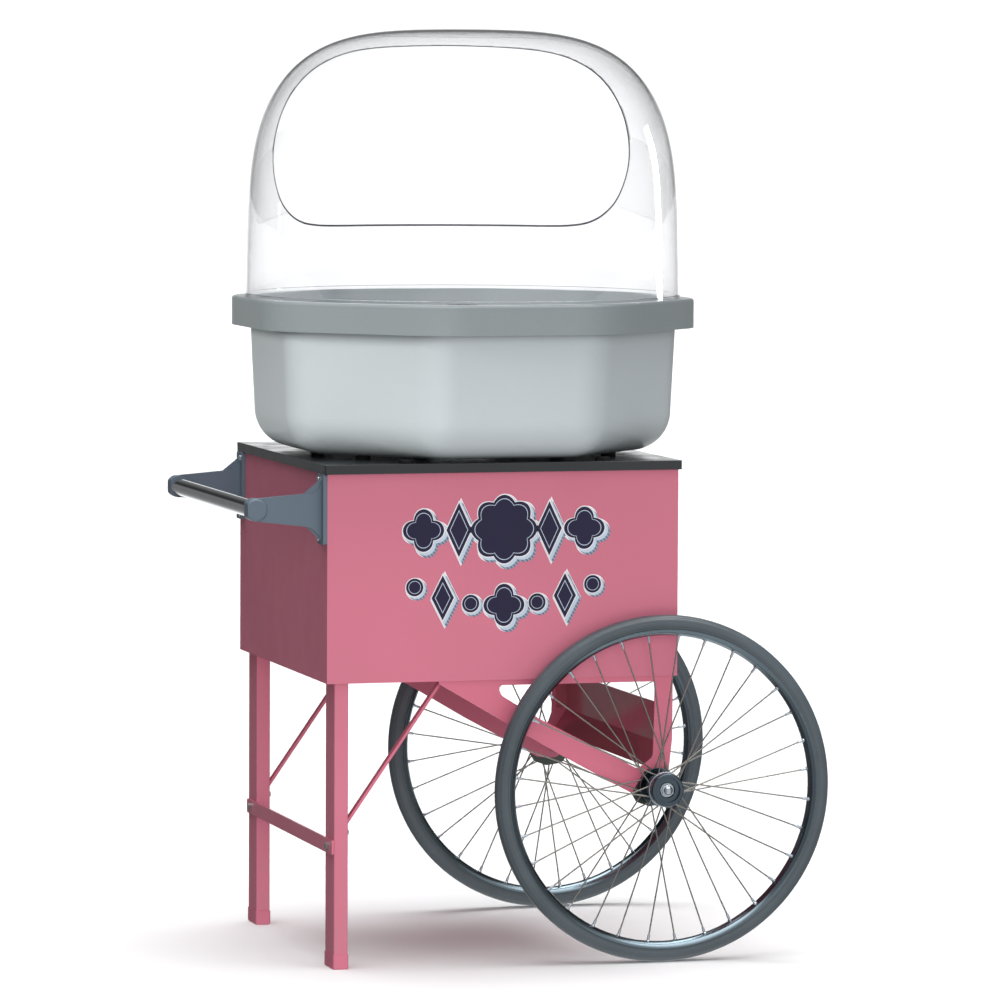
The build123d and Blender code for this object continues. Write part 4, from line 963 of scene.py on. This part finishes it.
# white cyclorama behind; the left and the right side of the room are in shade, a dim band hangs above the backdrop,
# the ceiling is bright
up_z = w_dot((0.0, 0.0, 1.0))
back = w_dot((0.0, 1.0, 0.0))
room = w_mul(w_span(w_dot((-0.97, 0.25, 0.0)), 0.22, 0.6, 1.0, 0.42), w_span(w_dot((0.98, 0.2, 0.0)), 0.54, 0.74, 1.0, 0.24))
band_z = w_mul(w_span(up_z, 0.07, 0.2, 0.0, 1.0), w_span(up_z, 0.76, 0.88, 1.0, 0.0))
dim = w_mul(band_z, w_span(back, -0.15, 0.3, 0.0, 1.0))
room = w_mul(room, w_span(dim, 0.0, 1.0, 1.0, 0.15))
room = w_mul(room, w_span(up_z, 0.72, 0.92, 1.0, 3.6))
room = w_mul(room, w_span(back, -0.5, 0.3, 0.70, 1.4))
# darker to the left of the backdrop and on the ground behind
room = w_mul(room, w_span(w_dot((-0.75, 0.66, 0.0)), 0.5, 0.75, 1.0, 0.24))
room = w_mul(room, w_span(w_dot((0.0, 0.5, -0.87)), 0.62, 0.86, 1.0, 0.75))
wt.links.new(room, bg.inputs["Strength"])
bg.inputs["Color"].default_value = (0.985, 0.992, 1.0, 1.0)


def area(name, loc, target, sx, sy, power, col=(1, 1, 1)):
    ld = bpy.data.lights.new(name, "AREA")
    ld.shape = "RECTANGLE"
    ld.size, ld.size_y = sx, sy
    ld.energy = power
    ld.color = col
    o = bpy.data.objects.new(name, ld)
    scene.collection.objects.link(o)
    o.location = loc
    o.rotation_euler = (Vector(target) - Vector(loc)).to_track_quat("-Z", "Y").to_euler()
    return o


def unseen(o):
    # lights the object without showing as a shape in its gloss or through the dome
    o.visible_glossy = False
    o.visible_transmission = False
    return o


def only(light, *objs):
    # the light falls on these pieces alone
    group = bpy.data.collections.new(light.name + "_group")
    for ob in objs:
        group.objects.link(ob)
    light.light_linking.receiver_collection = group
    return light


sun = bpy.data.lights.new("key_sun", "SUN")
sun.energy = 0.9
sun.angle = math.radians(30.0)
sun.color = (1.0, 0.99, 0.975)
key = bpy.data.objects.new("key_sun", sun)
scene.collection.objects.link(key)
key.rotation_euler = Vector((0.17, 0.96, -0.20)).to_track_quat("-Z", "Y").to_euler()
unseen(key)

# low softbox in front of the cart
low = area("low_softbox", (-0.3, -1.7, 0.22), (0.0, -0.27, 0.5), 1.8, 0.4, 6.5, (1.0, 0.99, 0.98))
unseen(low)
low.visible_camera = False
only(low, *[nodes[k] for k in ("cabinet_shell", "front_leg", "rear_leg", "foot_caps", "leg_strap", "leg_braces", "front_wheel_bracket", "bowl")])


# soft lamp that lifts the left facets of the shell
bowl_lamp = area("bowl_lamp", (-2.17, -0.69, 1.56), (-0.04, 0.0, 0.87), 0.8, 0.8, 43.0, (1.0, 0.985, 0.95))
unseen(bowl_lamp)
bowl_lamp.visible_camera = False
only(bowl_lamp, nodes["bowl"])

# weaker one for its front facets
front_lamp = area("front_lamp", (0.45, -2.3, 1.3), (-0.04, 0.0, 0.87), 0.8, 0.8, 13.0, (1.0, 0.99, 0.97))
unseen(front_lamp)
front_lamp.visible_camera = False
only(front_lamp, nodes["bowl"])

# narrow strip whose reflection runs down the right side of the dome
strip = area("strip_right", (2.9, 1.0, 1.40), (0.27, -0.05, 1.16), 0.30, 1.05, 3.0)
strip.data.spread = math.radians(22.0)
strip.visible_diffuse = False
strip.visible_camera = False
only(strip, shell)

scene.view_settings.view_transform = "Standard"
scene.view_settings.look = "None"
scene.view_settings.exposure = 0.0
scene.view_settings.gamma = 1.0
